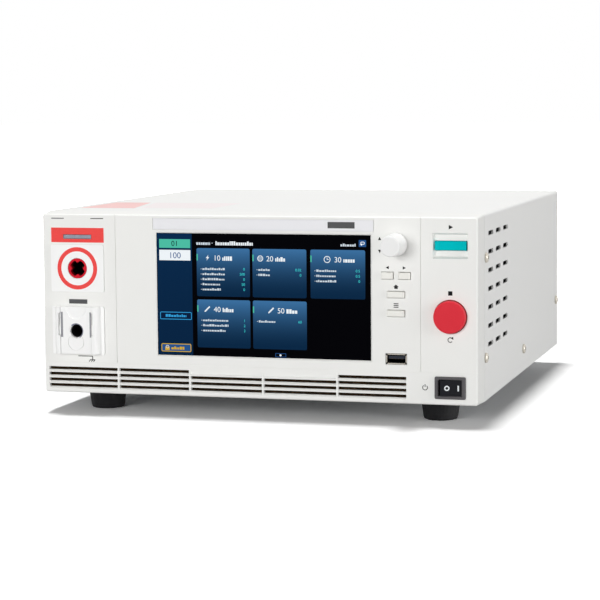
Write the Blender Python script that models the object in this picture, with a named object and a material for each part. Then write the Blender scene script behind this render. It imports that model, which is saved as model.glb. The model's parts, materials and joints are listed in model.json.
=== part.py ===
"""Bench hipot tester: a steel case with a moulded front, its terminals, switches and inner units.

Metres, +Z up. The front faces -Y, the feet stand on Z = 0, and X = 0, Y = 0 is the middle of
the footprint, with the knob and the rear ground terminal counted in.
"""
import math

import bmesh
import bpy
from mathutils import Vector

# Clearances
GAP = 0.0003            # between faces that rest on each other
RUNNING = 0.0004        # around pieces that move
PAST = 0.001            # how far a cutter runs past the face that it opens

# Front panel, left to right and bottom to top
OUTPUT_PANEL_WIDTH = 0.0572
SCREEN_MARGIN = 0.0306
SCREEN_WIDTH = 0.1560
KEY_PANEL_WIDTH = 0.0352
SWITCH_PANEL_WIDTH = 0.0410
VENT_BAND = 0.0222
SCREEN_SILL = 0.0068
SCREEN_HEIGHT = 0.0868
SCREEN_HEAD = 0.0144

# Case
BODY_DEPTH = 0.350
FOOT_HEIGHT = 0.0155
COVER_SHEET = 0.0012
COVER_BEND = 0.0020
COVER_LIFT = 0.0005     # lower edge of the cover above the lower edge of the bezel
CHASSIS_SHEET = 0.0015
CHASSIS_FLANGE = 0.0237
REAR_SHEET = 0.0015
REAR_FLANGE = 0.0145
REAR_INSET = 0.0025
BOARD_THICKNESS = 0.0016

# Bezel moulding
BEZEL_DEPTH = 0.0160
BEZEL_TAPER = 0.0016
BEZEL_EDGE = 0.0007
BEZEL_CORNER = 0.0015
BEZEL_FACE = 0.0030
BEZEL_WALL = 0.0024
LIP_LENGTH = 0.0100
GROOVE_WIDTH = 0.0005
GROOVE_DEPTH = 0.0005

# Cooling slots of the bezel
VENT_START = 0.0046
VENT_LENGTH = 0.0526
VENT_LAST_LENGTH = 0.0485
VENT_BAR = 0.0013
VENT_RISE = 0.0040
VENT_PITCH = 0.0041
VENT_GAP = 0.0023
VENT_BEVEL = 0.0010
VENT_COLUMNS = 5
VENT_ROWS = 4
BLIND_COLUMNS = (2, 3)
BLIND_DEPTH = 0.0008

# Cooling slots of the cover, measured from the front face and the lower edge
SIDE_SLOT_START = 0.0400
SIDE_SLOT_PITCH = 0.0290
SIDE_SLOT_COLUMNS = 3
SIDE_SLOT_RISE = 0.0385
SIDE_SLOT_STEP = 0.0129
SIDE_SLOT_ROWS = 7
SIDE_SLOT_LENGTH = 0.0183
SIDE_SLOT_WIDTH = 0.0031

# Cover screws: distance behind the front face and heights above the lower edge
FRONT_SCREW_BACK = 0.0205
FRONT_SCREW_RISES = (0.0307, 0.0999)
MIDDLE_SCREW_RISE = 0.0177
MIDDLE_SCREW_SHIFT = 0.0015     # behind the middle of the case
REAR_SCREW_RISE = 0.0390
REAR_SCREW_INSET = 0.0110       # in front of the back edge
SCREW_HEAD_RADIUS = 0.0036
SCREW_HEAD_HEIGHT = 0.0018
SCREW_SHANK_RADIUS = 0.0015
SCREW_SHANK_LENGTH = 0.0070

# Feet
FOOT_SIDE = 0.0350      # centre of a foot from the side of the case
FOOT_FRONT = 0.0377     # centre of a foot from the front and from the back
FOOT_TOP_RADIUS = 0.0141
FOOT_BASE_RADIUS = 0.0122
FOOT_EDGE = 0.0018
FOOT_BORE_RADIUS = 0.0054
FOOT_BORE_DEPTH = 0.0090
FOOT_SCREW_HEAD_RADIUS = 0.0042
FOOT_SCREW_HEAD_HEIGHT = 0.0028
FOOT_SCREW_RADIUS = 0.0020
FOOT_SCREW_REACH = 0.0050

# Screen
SCREEN_FLARE = 0.0009
SCREEN_LEDGE = 0.0012
SCREEN_OVERLAP = 0.0024
TOUCH_THICKNESS = 0.0014
LCD_BORDER = 0.0045
LCD_BORDER_HEIGHT = 0.0055
LCD_THICKNESS = 0.0058
STRIP_OVERHANG = 0.0020 # past each side of the screen
STRIP_HEIGHT = 0.0078
STRIP_THICKNESS = 0.0005
STRIP_DROP = 0.0080     # middle of the strip below the top of the case

# Output terminals
OUTPUT_X_INSET = 0.0282
LAMP_WIDTH = 0.0215
LAMP_HEIGHT = 0.0032
LAMP_DROP = 0.0178
LAMP_PROUD = 0.0002
HV_DROP = 0.0404
PLATE_THICKNESS = 0.0008
PLATE_CORNER = 0.0010
HV_PLATE_WIDTH = 0.0402
HV_PLATE_HEIGHT = 0.0337
HV_SOCKET_RADIUS = 0.0071
HV_SOCKET_DEPTH = 0.0240
HV_FLANGE_RADIUS = 0.0100
HV_FLANGE_THICKNESS = 0.0020
HV_BORE_RADIUS = 0.0059
HV_TOOTH_DEPTH = 0.0017
HV_TOOTH_ANGLE = math.radians(17)
HV_TEETH = 4
HV_PIN_RADIUS = 0.0015
HV_PIN_TIP = 0.0100
HV_PIN_TAIL = 0.0060
LOW_RISE = 0.0230       # middle of the LOW plate above the vent band
LOW_PLATE_WIDTH = 0.0396
LOW_PLATE_HEIGHT = 0.0346
LOW_BLOCK_WIDTH = 0.0346
LOW_BLOCK_FACE = 0.0279
LOW_BLOCK_HEIGHT = 0.0336
LOW_BLOCK_PROUD = 0.0060
LOW_BOSS_RADIUS = 0.0070
LOW_BOSS_DEPTH = 0.0150
LOW_BORE_RADIUS = 0.0047
LOW_SOCKET_RADIUS = 0.0051
LOW_SOCKET_BORE = 0.0044
LOW_CONTACT_BORE = 0.0021
LOW_SOCKET_END = 0.0222
LOW_CONTACT_LENGTH = 0.0060

# Lock slider of the LOW terminal
SLIDER_WIDTH = 0.0232
SLIDER_FLANGE = 0.0015
SLIDER_BACK = 0.0026
SLIDER_FLANGE_THICKNESS = 0.0012
SLIDER_SINK = 0.0005
SLIDER_TRAVEL = 0.0080
SLIDER_BEVEL = 0.0009
SLIDER_LUG_LENGTH = 0.0074
SLIDER_DISH_RADIUS = 0.0062
SLIDER_DISH_DEPTH = 0.0006
SLIDER_RING = 0.0005
THUMB_RADIUS = 0.0080
WINDOW_WIDTH = 0.0018
WINDOW_TOP = 0.0042     # below the top of the block

# Key panel
KEY_X_INSET = 0.0173
KNOB_DROP = 0.0206
KNOB_RADIUS = 0.0080
KNOB_FACE_RADIUS = 0.0071
KNOB_LENGTH = 0.0180
KNOB_LIFT = 0.0006
KNOB_EDGE = 0.0009
KNOB_DRAFT = 0.0004
ENCODER_SIZE = 0.0120
ENCODER_BUSH_RADIUS = 0.0036
ENCODER_BUSH_PROUD = 0.0002
ENCODER_SHAFT_RADIUS = 0.0030
ENCODER_SHAFT_REACH = 0.0130
KEY_PROUD = 0.0018
KEY_EDGE = 0.0004
KEY_TRAVEL = 0.0010
KEY_FLANGE = 0.0010
KEY_FLANGE_THICKNESS = 0.0010
KEY_STEM_RADIUS = 0.0015
KEY_STEM_LENGTH = 0.0035
ARROW_KEY_WIDTH = 0.0080
ARROW_KEY_HEIGHT = 0.0046
ARROW_KEY_OFFSET = 0.0060
ARROW_KEY_DROP = 0.0419
WIDE_KEY_WIDTH = 0.0121
WIDE_KEY_HEIGHT = 0.0043
HOME_KEY_DROP = 0.0549
MEMORY_KEY_DROP = 0.0679
KEY_SWITCH_SIZE = 0.0060
USB_RISE = 0.0086       # middle of the USB socket above the vent band
USB_HOLE_WIDTH = 0.0152
USB_HOLE_HEIGHT = 0.0078
USB_FLANGE_WIDTH = 0.0146
USB_FLANGE_HEIGHT = 0.0072
USB_MOUTH_WIDTH = 0.0125
USB_MOUTH_HEIGHT = 0.0051
USB_SHELL = 0.0004
USB_LENGTH = 0.0140
USB_TONGUE_WIDTH = 0.0111
USB_TONGUE_THICKNESS = 0.0018
USB_TONGUE_START = 0.0020
KEY_BOARD_DEPTH = 0.0160
POST_RADIUS = 0.0025

# Switch panel
START_DROP = 0.0211
START_RECESS_WIDTH = 0.0243
START_RECESS_HEIGHT = 0.0176
START_FLOOR_WIDTH = 0.0227
START_FLOOR_HEIGHT = 0.0148
START_RECESS_DEPTH = 0.0032
START_BOSS_MARGIN = 0.0025
START_BOSS_DEPTH = 0.0056
START_BAR_WIDTH = 0.0216
START_BAR_HEIGHT = 0.0061
START_BAR_FLAT = 0.0158
START_BAR_END = 0.0008
START_BAR_DISH = 0.0019
START_FLANGE = 0.0018
START_FLANGE_THICKNESS = 0.0010
START_TRAVEL = 0.0025
START_STEM_RADIUS = 0.0015
SWITCH_BODY_SIZE = 0.0140
STOP_RISE = 0.0385      # middle of the stop button above the vent band
STOP_RADIUS = 0.0112
STOP_FACE_RADIUS = 0.0100
STOP_RIM = 0.0032
STOP_PROUD = 0.0046
STOP_PLAY = 0.0006
STOP_FLANGE = 0.0020
STOP_FLANGE_THICKNESS = 0.0012
STOP_TRAVEL = 0.0030
STOP_STEM_RADIUS = 0.0025
STEM_ENGAGEMENT = 0.0015    # how far a button's stem sits in its switch at rest

# Power switch
POWER_RISE = 0.0119
POWER_FLANGE_WIDTH = 0.0215
POWER_FLANGE_HEIGHT = 0.0155
POWER_FLANGE_PROUD = 0.0016
POWER_CORNER = 0.0010
POWER_BODY_WIDTH = 0.0189
POWER_BODY_HEIGHT = 0.0131
POWER_BODY_DEPTH = 0.0180
POWER_MOUTH_WIDTH = 0.0162
POWER_MOUTH_HEIGHT = 0.0112
POWER_MOUTH_FLARE = 0.0005
POWER_POCKET_DEPTH = 0.0080
ROCKER_HALF_WIDTH = 0.0072
ROCKER_FOOT_HALF_WIDTH = 0.0062
ROCKER_TILT = math.radians(7)
ROCKER_PIVOT_DEPTH = 0.0030
ROCKER_CREST = 0.0043   # middle of the rocker's face in front of its pin
ROCKER_BACK = 0.0024
ROCKER_PIN_RADIUS = 0.0010

# Rear panel, heights above the lower edge of the case
FAN_SIZE = 0.0800
FAN_THICKNESS = 0.0250
FAN_BORE_RADIUS = 0.0375
FAN_CORNER = 0.0040
FAN_INSET = 0.0700      # centre from the right side
FAN_RISE = 0.0770
FAN_HUB_RADIUS = 0.0160
FAN_BLADES = 7
FAN_BLADE_THICKNESS = 0.0016
FAN_TIP_PLAY = 0.0012
FAN_ROTOR_LENGTH = 0.0190
FAN_STRUT = 0.0030
FAN_MOUNT_THICKNESS = 0.0030
FAN_SHAFT_RADIUS = 0.0020
FAN_ROOT_CHORD = 0.0140
FAN_TIP_CHORD = 0.0200
FAN_HUB_EDGE = 0.0015
GUARD_WIRE = 0.0008
GUARD_RINGS = (0.0120, 0.0200, 0.0280, 0.0360)
GUARD_REACH = 0.0440
INLET_INSET = 0.0420
REAR_ROW_RISE = 0.0210
INLET_FLANGE_WIDTH = 0.0500
INLET_FLANGE_HEIGHT = 0.0225
INLET_FLANGE_THICKNESS = 0.0025
INLET_BODY_WIDTH = 0.0274
INLET_BODY_HEIGHT = 0.0194
INLET_BODY_DEPTH = 0.0250
INLET_MOUTH_WIDTH = 0.0244
INLET_MOUTH_HEIGHT = 0.0164
INLET_MOUTH_DEPTH = 0.0170
INLET_PIN_LENGTH = 0.0130
INLET_PIN_PITCH = 0.0070
INLET_PIN_STEP = 0.0020
INLET_PIN_WIDTH = 0.0020
INLET_PIN_HEIGHT = 0.0040
GROUND_INSET = 0.0840
GROUND_STUD_RADIUS = 0.0025
GROUND_STUD_REACH = 0.0145
GROUND_STUD_TAIL = 0.0080
GROUND_NUT_RADIUS = 0.0052
GROUND_NUT_HEIGHT = 0.0045
SIGNAL_INSET = 0.1500
SIGNAL_SHELL_WIDTH = 0.0390
SERIAL_INSET = 0.1120   # from the left side, as the next two
SERIAL_SHELL_WIDTH = 0.0170
DSUB_EAR = 0.0070
DSUB_HEIGHT = 0.0125
DSUB_SHELL_HEIGHT = 0.0084
DSUB_PLATE = 0.0010
DSUB_PROUD = 0.0060
DSUB_BODY_DEPTH = 0.0110
LAN_INSET = 0.0600
LAN_WIDTH = 0.0160
LAN_HEIGHT = 0.0135
LAN_MOUTH_WIDTH = 0.0120
LAN_MOUTH_HEIGHT = 0.0080
LAN_DEPTH = 0.0180
LAN_MOUTH_DEPTH = 0.0120
USB_DEVICE_INSET = 0.0270
USB_DEVICE_WIDTH = 0.0120
USB_DEVICE_HEIGHT = 0.0110
USB_DEVICE_MOUTH_WIDTH = 0.0085
USB_DEVICE_MOUTH_HEIGHT = 0.0078
USB_DEVICE_TONGUE_WIDTH = 0.0056
USB_DEVICE_TONGUE_HEIGHT = 0.0032
USB_DEVICE_DEPTH = 0.0160
USB_DEVICE_MOUTH_DEPTH = 0.0090
PORT_PROUD = 0.0006

# Inner units
STANDOFF_RADIUS = 0.0030
STANDOFF_HEIGHT = 0.0060
INTERFACE_BOARD_INSET = 0.0100  # from the left side
INTERFACE_BOARD_WIDTH = 0.1950
INTERFACE_BOARD_LENGTH = 0.0320
POWER_BOARD_INSET = 0.1100      # from the left side
POWER_BOARD_WIDTH = 0.0950
POWER_BOARD_FRONT = 0.0600      # behind the front face
POWER_BOARD_BACK = 0.1400       # in front of the back edge
BOARD_PART = 0.0100             # unit for the parts on the boards
CORE_INSET = 0.0550
CORE_FRONT = 0.0620
CORE_WIDTH = 0.0840
CORE_HEIGHT = 0.0700
CORE_LENGTH = 0.0450
CORE_LEG = 0.0280
CORE_YOKE = 0.0140
WINDING_SWELL = 0.0120
SINK_INSET = 0.0650
SINK_BACK = 0.0600      # in front of the back edge
SINK_WIDTH = 0.0800
SINK_LENGTH = 0.1000
SINK_BASE = 0.0060
SINK_FIN = 0.0022
SINK_FINS = 9
SINK_HEIGHT = 0.0550
BRACKET_SHEET = 0.0012
BRACKET_EAR = 0.0060
BRACKET_EAR_HEIGHT = 0.0080
BRACKET_EAR_RISES = (0.0280, 0.0780)
BRACKET_POST = 0.0070
BRACKET_EAR_POST = 0.0020
CONTROL_BOARD_MARGIN = 0.0060

# Places that follow from the sizes above
BODY_WIDTH = OUTPUT_PANEL_WIDTH + SCREEN_MARGIN + SCREEN_WIDTH + KEY_PANEL_WIDTH + SWITCH_PANEL_WIDTH
BODY_HEIGHT = VENT_BAND + SCREEN_SILL + SCREEN_HEIGHT + SCREEN_HEAD
RIGHT = BODY_WIDTH / 2
LEFT = -RIGHT
BASE = FOOT_HEIGHT
TOP = BASE + BODY_HEIGHT
FRONT_REACH = KNOB_LIFT + KNOB_LENGTH
REAR_REACH = GROUND_STUD_REACH - REAR_INSET
FRONT = FRONT_REACH - (FRONT_REACH + BODY_DEPTH + REAR_REACH) / 2
BACK = FRONT + BODY_DEPTH
REAR_FACE = BACK - REAR_INSET
REAR_INNER = REAR_FACE - REAR_SHEET
COVER_FRONT = FRONT + BEZEL_DEPTH + GAP
LIP_INSET = COVER_SHEET + GAP
LIP_END = FRONT + BEZEL_DEPTH + LIP_LENGTH
CHASSIS_FRONT = LIP_END + GAP
CHASSIS_BOTTOM = BASE + GAP
CHASSIS_TOP = CHASSIS_BOTTOM + CHASSIS_SHEET
INNER_X = RIGHT - LIP_INSET
BAND_Z = BASE + VENT_BAND
OUTPUT_X = LEFT + OUTPUT_X_INSET
SCREEN_LEFT = LEFT + OUTPUT_PANEL_WIDTH + SCREEN_MARGIN
SCREEN_RIGHT = SCREEN_LEFT + SCREEN_WIDTH
SCREEN_X = (SCREEN_LEFT + SCREEN_RIGHT) / 2
SCREEN_Z = BAND_Z + SCREEN_SILL + SCREEN_HEIGHT / 2
SWITCH_X = RIGHT - SWITCH_PANEL_WIDTH / 2
KEY_X = RIGHT - SWITCH_PANEL_WIDTH - KEY_X_INSET
HV_Z = TOP - HV_DROP
LAMP_Z = TOP - LAMP_DROP
LOW_Z = BAND_Z + LOW_RISE
KNOB_Z = TOP - KNOB_DROP
START_Z = TOP - START_DROP
STOP_Z = BAND_Z + STOP_RISE
POWER_Z = BASE + POWER_RISE
USB_Z = BAND_Z + USB_RISE
PLATE_BACK = FRONT - GAP
PLATE_FRONT = PLATE_BACK - PLATE_THICKNESS
BEZEL_BACK = FRONT + BEZEL_FACE
KEY_BOARD_FRONT = FRONT + KEY_BOARD_DEPTH
LCD_FRONT = BEZEL_BACK + GAP
BRACKET_FRONT = LCD_FRONT + LCD_THICKNESS + GAP
BOARD_Z = CHASSIS_TOP + STANDOFF_HEIGHT + GAP
REAR_ROW_Z = BASE + REAR_ROW_RISE
FAN_X = RIGHT - FAN_INSET
FAN_Z = BASE + FAN_RISE
INLET_X = RIGHT - INLET_INSET
GROUND_X = RIGHT - GROUND_INSET
SIGNAL_X = RIGHT - SIGNAL_INSET
SERIAL_X = LEFT + SERIAL_INSET
LAN_X = LEFT + LAN_INSET
USB_DEVICE_X = LEFT + USB_DEVICE_INSET
CORE_X = LEFT + CORE_INSET
SINK_X = RIGHT - SINK_INSET
KEYS = {
    "key_left": (KEY_X - ARROW_KEY_OFFSET, TOP - ARROW_KEY_DROP, ARROW_KEY_WIDTH, ARROW_KEY_HEIGHT),
    "key_right": (KEY_X + ARROW_KEY_OFFSET, TOP - ARROW_KEY_DROP, ARROW_KEY_WIDTH, ARROW_KEY_HEIGHT),
    "key_home": (KEY_X, TOP - HOME_KEY_DROP, WIDE_KEY_WIDTH, WIDE_KEY_HEIGHT),
    "key_memory": (KEY_X, TOP - MEMORY_KEY_DROP, WIDE_KEY_WIDTH, WIDE_KEY_HEIGHT),
}


# Outlines: lists of flat points
def rectangle(u0, u1, v0, v1):
    return [(u0, v0), (u1, v0), (u1, v1), (u0, v1)]


def centred(u, v, width, height, grow=0.0):
    half_u = width / 2 + grow
    half_v = height / 2 + grow
    return rectangle(u - half_u, u + half_u, v - half_v, v + half_v)


def circle(u, v, radius, segments=32):
    angles = [math.tau * step / segments for step in range(segments)]
    return [(u + radius * math.cos(a), v + radius * math.sin(a)) for a in angles]


def rounded(u0, u1, v0, v1, radius, steps=3):
    """A rectangle with round corners."""
    centres = [(u1 - radius, v0 + radius), (u1 - radius, v1 - radius),
               (u0 + radius, v1 - radius), (u0 + radius, v0 + radius)]
    points = []
    for quarter, (u, v) in enumerate(centres):
        for step in range(steps + 1):
            angle = math.pi / 2 * (quarter - 1 + step / steps)
            points.append((u + radius * math.cos(angle), v + radius * math.sin(angle)))
    return points


def rounded_centred(u, v, width, height, radius, steps=3):
    return rounded(u - width / 2, u + width / 2, v - height / 2, v + height / 2, radius, steps)


# Solids: each call adds one closed body to a bmesh
def at(outline, axis, along):
    """The outline's points on the plane at one place along an axis."""
    if axis == "X":
        return [Vector((along, u, v)) for u, v in outline]
    if axis == "Y":
        return [Vector((u, along, v)) for u, v in outline]
    return [Vector((u, v, along)) for u, v in outline]


def add_loft(shape, rings, closed=False):
    """Skin a row of rings, capped at both ends or closed into a loop."""
    loops = [[shape.verts.new(point) for point in ring] for ring in rings]
    pairs = list(zip(loops, loops[1:]))
    if closed:
        pairs.append((loops[-1], loops[0]))
    else:
        shape.faces.new(loops[0])
        shape.faces.new(loops[-1][::-1])
    for near, far in pairs:
        for index in range(len(near)):
            after = (index + 1) % len(near)
            shape.faces.new((near[index], near[after], far[after], far[index]))


def add_prism(shape, outline, axis, start, end):
    add_loft(shape, [at(outline, axis, start), at(outline, axis, end)])


def add_box(shape, x0, x1, y0, y1, z0, z1):
    add_prism(shape, rectangle(x0, x1, y0, y1), "Z", z0, z1)


def add_turned(shape, u, v, axis, profile, segments=32, closed=False):
    """Turn a profile of (radius, place along the axis) points about an axis."""
    add_loft(shape, [at(circle(u, v, r, segments), axis, along) for r, along in profile], closed)


# Objects
def clear_scene():
    for thing in list(bpy.data.objects):
        bpy.data.objects.remove(thing, do_unlink=True)


def make_material(name, colour, roughness, metallic=0.0):
    made = bpy.data.materials.new(name)
    made.use_nodes = True
    shader = made.node_tree.nodes["Principled BSDF"]
    shader.inputs["Base Color"].default_value = (*colour, 1.0)
    shader.inputs["Roughness"].default_value = roughness
    shader.inputs["Metallic"].default_value = metallic
    return made


def make_object(name, shape, material=None, origin=(0.0, 0.0, 0.0), parent=None):
    """Make an object of a bmesh drawn in place, with its origin where it is wanted."""
    bmesh.ops.recalc_face_normals(shape, faces=shape.faces)
    bmesh.ops.translate(shape, verts=shape.verts, vec=-Vector(origin))
    mesh = bpy.data.meshes.new(name)
    shape.to_mesh(mesh)
    shape.free()
    thing = bpy.data.objects.new(name, mesh)
    thing.location = origin
    bpy.context.collection.objects.link(thing)
    if material:
        mesh.materials.append(material)
        mesh.shade_smooth()
        mesh.set_sharp_from_angle(angle=math.radians(35))
    return thing


def combine(target, name, shape, operation):
    tool = make_object(name, shape)
    tool.hide_render = True
    tool.display_type = "WIRE"
    modifier = target.modifiers.new(name, "BOOLEAN")
    modifier.operation = operation
    modifier.solver = "EXACT"
    modifier.object = tool


def cut(target, name, shape):
    combine(target, name, shape, "DIFFERENCE")


def fuse(target, name, shape):
    combine(target, name, shape, "UNION")


# Case
def bezel_ring(inset, floor, y):
    """The bezel's outline at one depth; the floor stays level while the other sides taper."""
    outline = rounded(LEFT + inset, RIGHT - inset, BASE + floor, TOP - inset, BEZEL_CORNER)
    return at(outline, "Y", y)


def bezel_shell(material):
    shape = bmesh.new()
    join = FRONT + BEZEL_DEPTH
    add_loft(shape, [
        bezel_ring(BEZEL_TAPER + BEZEL_EDGE, BEZEL_EDGE, FRONT),
        bezel_ring(BEZEL_TAPER, 0.0, FRONT + BEZEL_EDGE),
        bezel_ring(0.0, 0.0, join),
        bezel_ring(LIP_INSET, GAP, join),
        bezel_ring(LIP_INSET, GAP, LIP_END),
    ])
    bezel = make_object("front_bezel", shape, material)
    hollow = bmesh.new()
    wall = BEZEL_TAPER + BEZEL_WALL
    add_box(hollow, LEFT + wall, RIGHT - wall, BEZEL_BACK, LIP_END + PAST, BASE + BEZEL_WALL, TOP - wall)
    cut(bezel, "bezel_hollow", hollow)
    return bezel


def post_places():
    """Centres of the posts behind the bezel, with the depth that each reaches."""
    key_left = SCREEN_RIGHT + 2 * LCD_BORDER + POST_RADIUS
    key_right = RIGHT - BEZEL_TAPER - BEZEL_WALL - 2 * POST_RADIUS
    low = STOP_Z - STOP_RADIUS - STOP_FLANGE - 3 * POST_RADIUS
    high = TOP - BEZEL_TAPER - BEZEL_WALL - POST_RADIUS - GAP
    board = [(x, z, KEY_BOARD_FRONT - GAP) for x in (key_left, key_right) for z in (low, high)]
    ears = [(x, BAND_Z + rise, BRACKET_FRONT - GAP)
            for x in (SCREEN_LEFT - LCD_BORDER - BRACKET_EAR / 2,
                      SCREEN_RIGHT + LCD_BORDER + BRACKET_EAR / 2)
            for rise in BRACKET_EAR_RISES]
    return board, ears


def bezel_bosses(bezel):
    bosses = bmesh.new()
    root = BEZEL_BACK - BEZEL_FACE / 2
    board, ears = post_places()
    for x, z, reach in board:
        add_turned(bosses, x, z, "Y", [(POST_RADIUS, root), (POST_RADIUS, reach)], 12)
    for x, z, reach in ears:
        add_turned(bosses, x, z, "Y", [(BRACKET_EAR_POST, root), (BRACKET_EAR_POST, reach)], 12)
    outline = centred(SWITCH_X, START_Z, START_RECESS_WIDTH, START_RECESS_HEIGHT, START_BOSS_MARGIN)
    add_prism(bosses, outline, "Y", root, FRONT + START_BOSS_DEPTH)
    fuse(bezel, "bezel_bosses", bosses)


def vent_columns():
    """Left and right ends of each column of slots."""
    columns = []
    start = LEFT + VENT_START
    for column in range(VENT_COLUMNS):
        length = VENT_LAST_LENGTH if column == VENT_COLUMNS - 1 else VENT_LENGTH
        columns.append((start, start + length))
        start += length + VENT_BAR
    return columns


def vent_profile(row, depth):
    """Side view of one slot, whose lower lip is bevelled."""
    low = BASE + VENT_RISE + row * VENT_PITCH
    slope_end = min(depth, VENT_BEVEL)
    return [
        (FRONT - VENT_BEVEL, low - 2 * VENT_BEVEL),
        (FRONT + slope_end, low - VENT_BEVEL + slope_end),
        (FRONT + depth, low - VENT_BEVEL + slope_end),
        (FRONT + depth, low + VENT_GAP),
        (FRONT - VENT_BEVEL, low + VENT_GAP),
    ]


def bezel_vents(bezel):
    through = bmesh.new()
    blind = bmesh.new()
    for column, (start, end) in enumerate(vent_columns()):
        for row in range(VENT_ROWS):
            if row == VENT_ROWS - 1 and column in BLIND_COLUMNS:
                profile = vent_profile(row, BLIND_DEPTH)
                add_prism(blind, [profile[0], profile[1], profile[3], profile[4]], "X", start, end)
            else:
                add_prism(through, vent_profile(row, BEZEL_FACE + PAST), "X", start, end)
    cut(bezel, "bezel_vents", through)
    cut(bezel, "bezel_blind_vents", blind)


def bezel_screen_opening(bezel):
    shape = bmesh.new()
    rings = [(2 * SCREEN_FLARE, FRONT - SCREEN_FLARE), (0.0, FRONT + SCREEN_FLARE),
             (0.0, FRONT + SCREEN_LEDGE), (SCREEN_OVERLAP, FRONT + SCREEN_LEDGE),
             (SCREEN_OVERLAP, BEZEL_BACK + PAST)]
    add_loft(shape, [at(centred(SCREEN_X, SCREEN_Z, SCREEN_WIDTH, SCREEN_HEIGHT, grow), "Y", y)
                     for grow, y in rings])
    strip = centred(SCREEN_X, TOP - STRIP_DROP, SCREEN_WIDTH + 2 * STRIP_OVERHANG, STRIP_HEIGHT, GAP)
    add_prism(shape, strip, "Y", FRONT - PAST, FRONT + STRIP_THICKNESS + GAP)
    cut(bezel, "bezel_screen_opening", shape)


def bezel_grooves(bezel):
    upright = bmesh.new()
    half = GROOVE_WIDTH / 2
    for x in (LEFT + OUTPUT_PANEL_WIDTH, RIGHT - SWITCH_PANEL_WIDTH):
        add_box(upright, x - half, x + half, FRONT - PAST, FRONT + GROOVE_DEPTH, BAND_Z, TOP + PAST)
    cut(bezel, "bezel_upright_grooves", upright)
    level = bmesh.new()
    add_box(level, LEFT - PAST, RIGHT + PAST, FRONT - PAST, FRONT + GROOVE_DEPTH,
            BAND_Z - half, BAND_Z + half)
    cut(bezel, "bezel_level_groove", level)


def start_funnel():
    """The start button's recess, whose four walls slope in to its floor."""
    rings = []
    for depth in (-PAST, START_RECESS_DEPTH):
        share = depth / START_RECESS_DEPTH
        width = START_RECESS_WIDTH + share * (START_FLOOR_WIDTH - START_RECESS_WIDTH)
        height = START_RECESS_HEIGHT + share * (START_FLOOR_HEIGHT - START_RECESS_HEIGHT)
        rings.append(at(centred(SWITCH_X, START_Z, width, height), "Y", FRONT + depth))
    return rings


def bezel_holes(bezel):
    """Holes that go straight through the front."""
    shape = bmesh.new()
    outlines = [
        circle(OUTPUT_X, HV_Z, HV_SOCKET_RADIUS + GAP),
        circle(OUTPUT_X, LOW_Z, LOW_BOSS_RADIUS + GAP),
        centred(OUTPUT_X, LAMP_Z, LAMP_WIDTH, LAMP_HEIGHT),
        circle(KEY_X, KNOB_Z, ENCODER_BUSH_RADIUS + GAP, 24),
        centred(KEY_X, USB_Z, USB_HOLE_WIDTH, USB_HOLE_HEIGHT),
        circle(SWITCH_X, STOP_Z, STOP_RADIUS + STOP_PLAY, 48),
        centred(SWITCH_X, POWER_Z, POWER_BODY_WIDTH, POWER_BODY_HEIGHT, GAP),
    ]
    for x, z, width, height in KEYS.values():
        outlines.append(centred(x, z, width, height, RUNNING))
    for outline in outlines:
        add_prism(shape, outline, "Y", FRONT - PAST, BEZEL_BACK + PAST)
    cut(bezel, "bezel_holes", shape)
    recess = bmesh.new()
    add_loft(recess, start_funnel())
    cut(bezel, "bezel_start_recess", recess)
    slot = bmesh.new()
    outline = centred(SWITCH_X, START_Z, START_BAR_WIDTH, START_BAR_HEIGHT, RUNNING)
    add_prism(slot, outline, "Y", FRONT - PAST, FRONT + START_BOSS_DEPTH + PAST)
    cut(bezel, "bezel_start_slot", slot)


def screw_places():
    """(Y, Z) of the four screws on each side of the case."""
    places = [(FRONT + FRONT_SCREW_BACK, BASE + rise) for rise in FRONT_SCREW_RISES]
    places.append(((FRONT + BACK) / 2 + MIDDLE_SCREW_SHIFT, BASE + MIDDLE_SCREW_RISE))
    places.append((BACK - REAR_SCREW_INSET, BASE + REAR_SCREW_RISE))
    return places


def drill_screw_holes(target, places):
    shape = bmesh.new()
    for y, z in places:
        for side in (LEFT, RIGHT):
            outline = circle(y, z, SCREW_SHANK_RADIUS + GAP, 12)
            add_prism(shape, outline, "X", side - SCREW_SHANK_LENGTH, side + SCREW_SHANK_LENGTH)
    cut(target, target.name + "_screw_holes", shape)


def front_bezel(material):
    bezel = bezel_shell(material)
    bezel_bosses(bezel)
    bezel_vents(bezel)
    bezel_screen_opening(bezel)
    bezel_grooves(bezel)
    bezel_holes(bezel)
    drill_screw_holes(bezel, screw_places()[:2])


def cover_outline():
    """The folded sheet seen from the front: up one side, over the top and down the other."""
    low = BASE + COVER_LIFT
    points = []
    for inset, bend in ((0.0, COVER_BEND), (COVER_SHEET, COVER_BEND - COVER_SHEET)):
        path = [(LEFT + inset, low)]
        for corner, turn in ((LEFT + inset + bend, math.pi), (RIGHT - inset - bend, math.pi / 2)):
            for step in range(5):
                angle = turn - math.pi / 2 * step / 4
                path.append((corner + bend * math.cos(angle), TOP - inset - bend + bend * math.sin(angle)))
        path.append((RIGHT - inset, low))
        points += path if inset == 0.0 else path[::-1]
    return points


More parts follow.
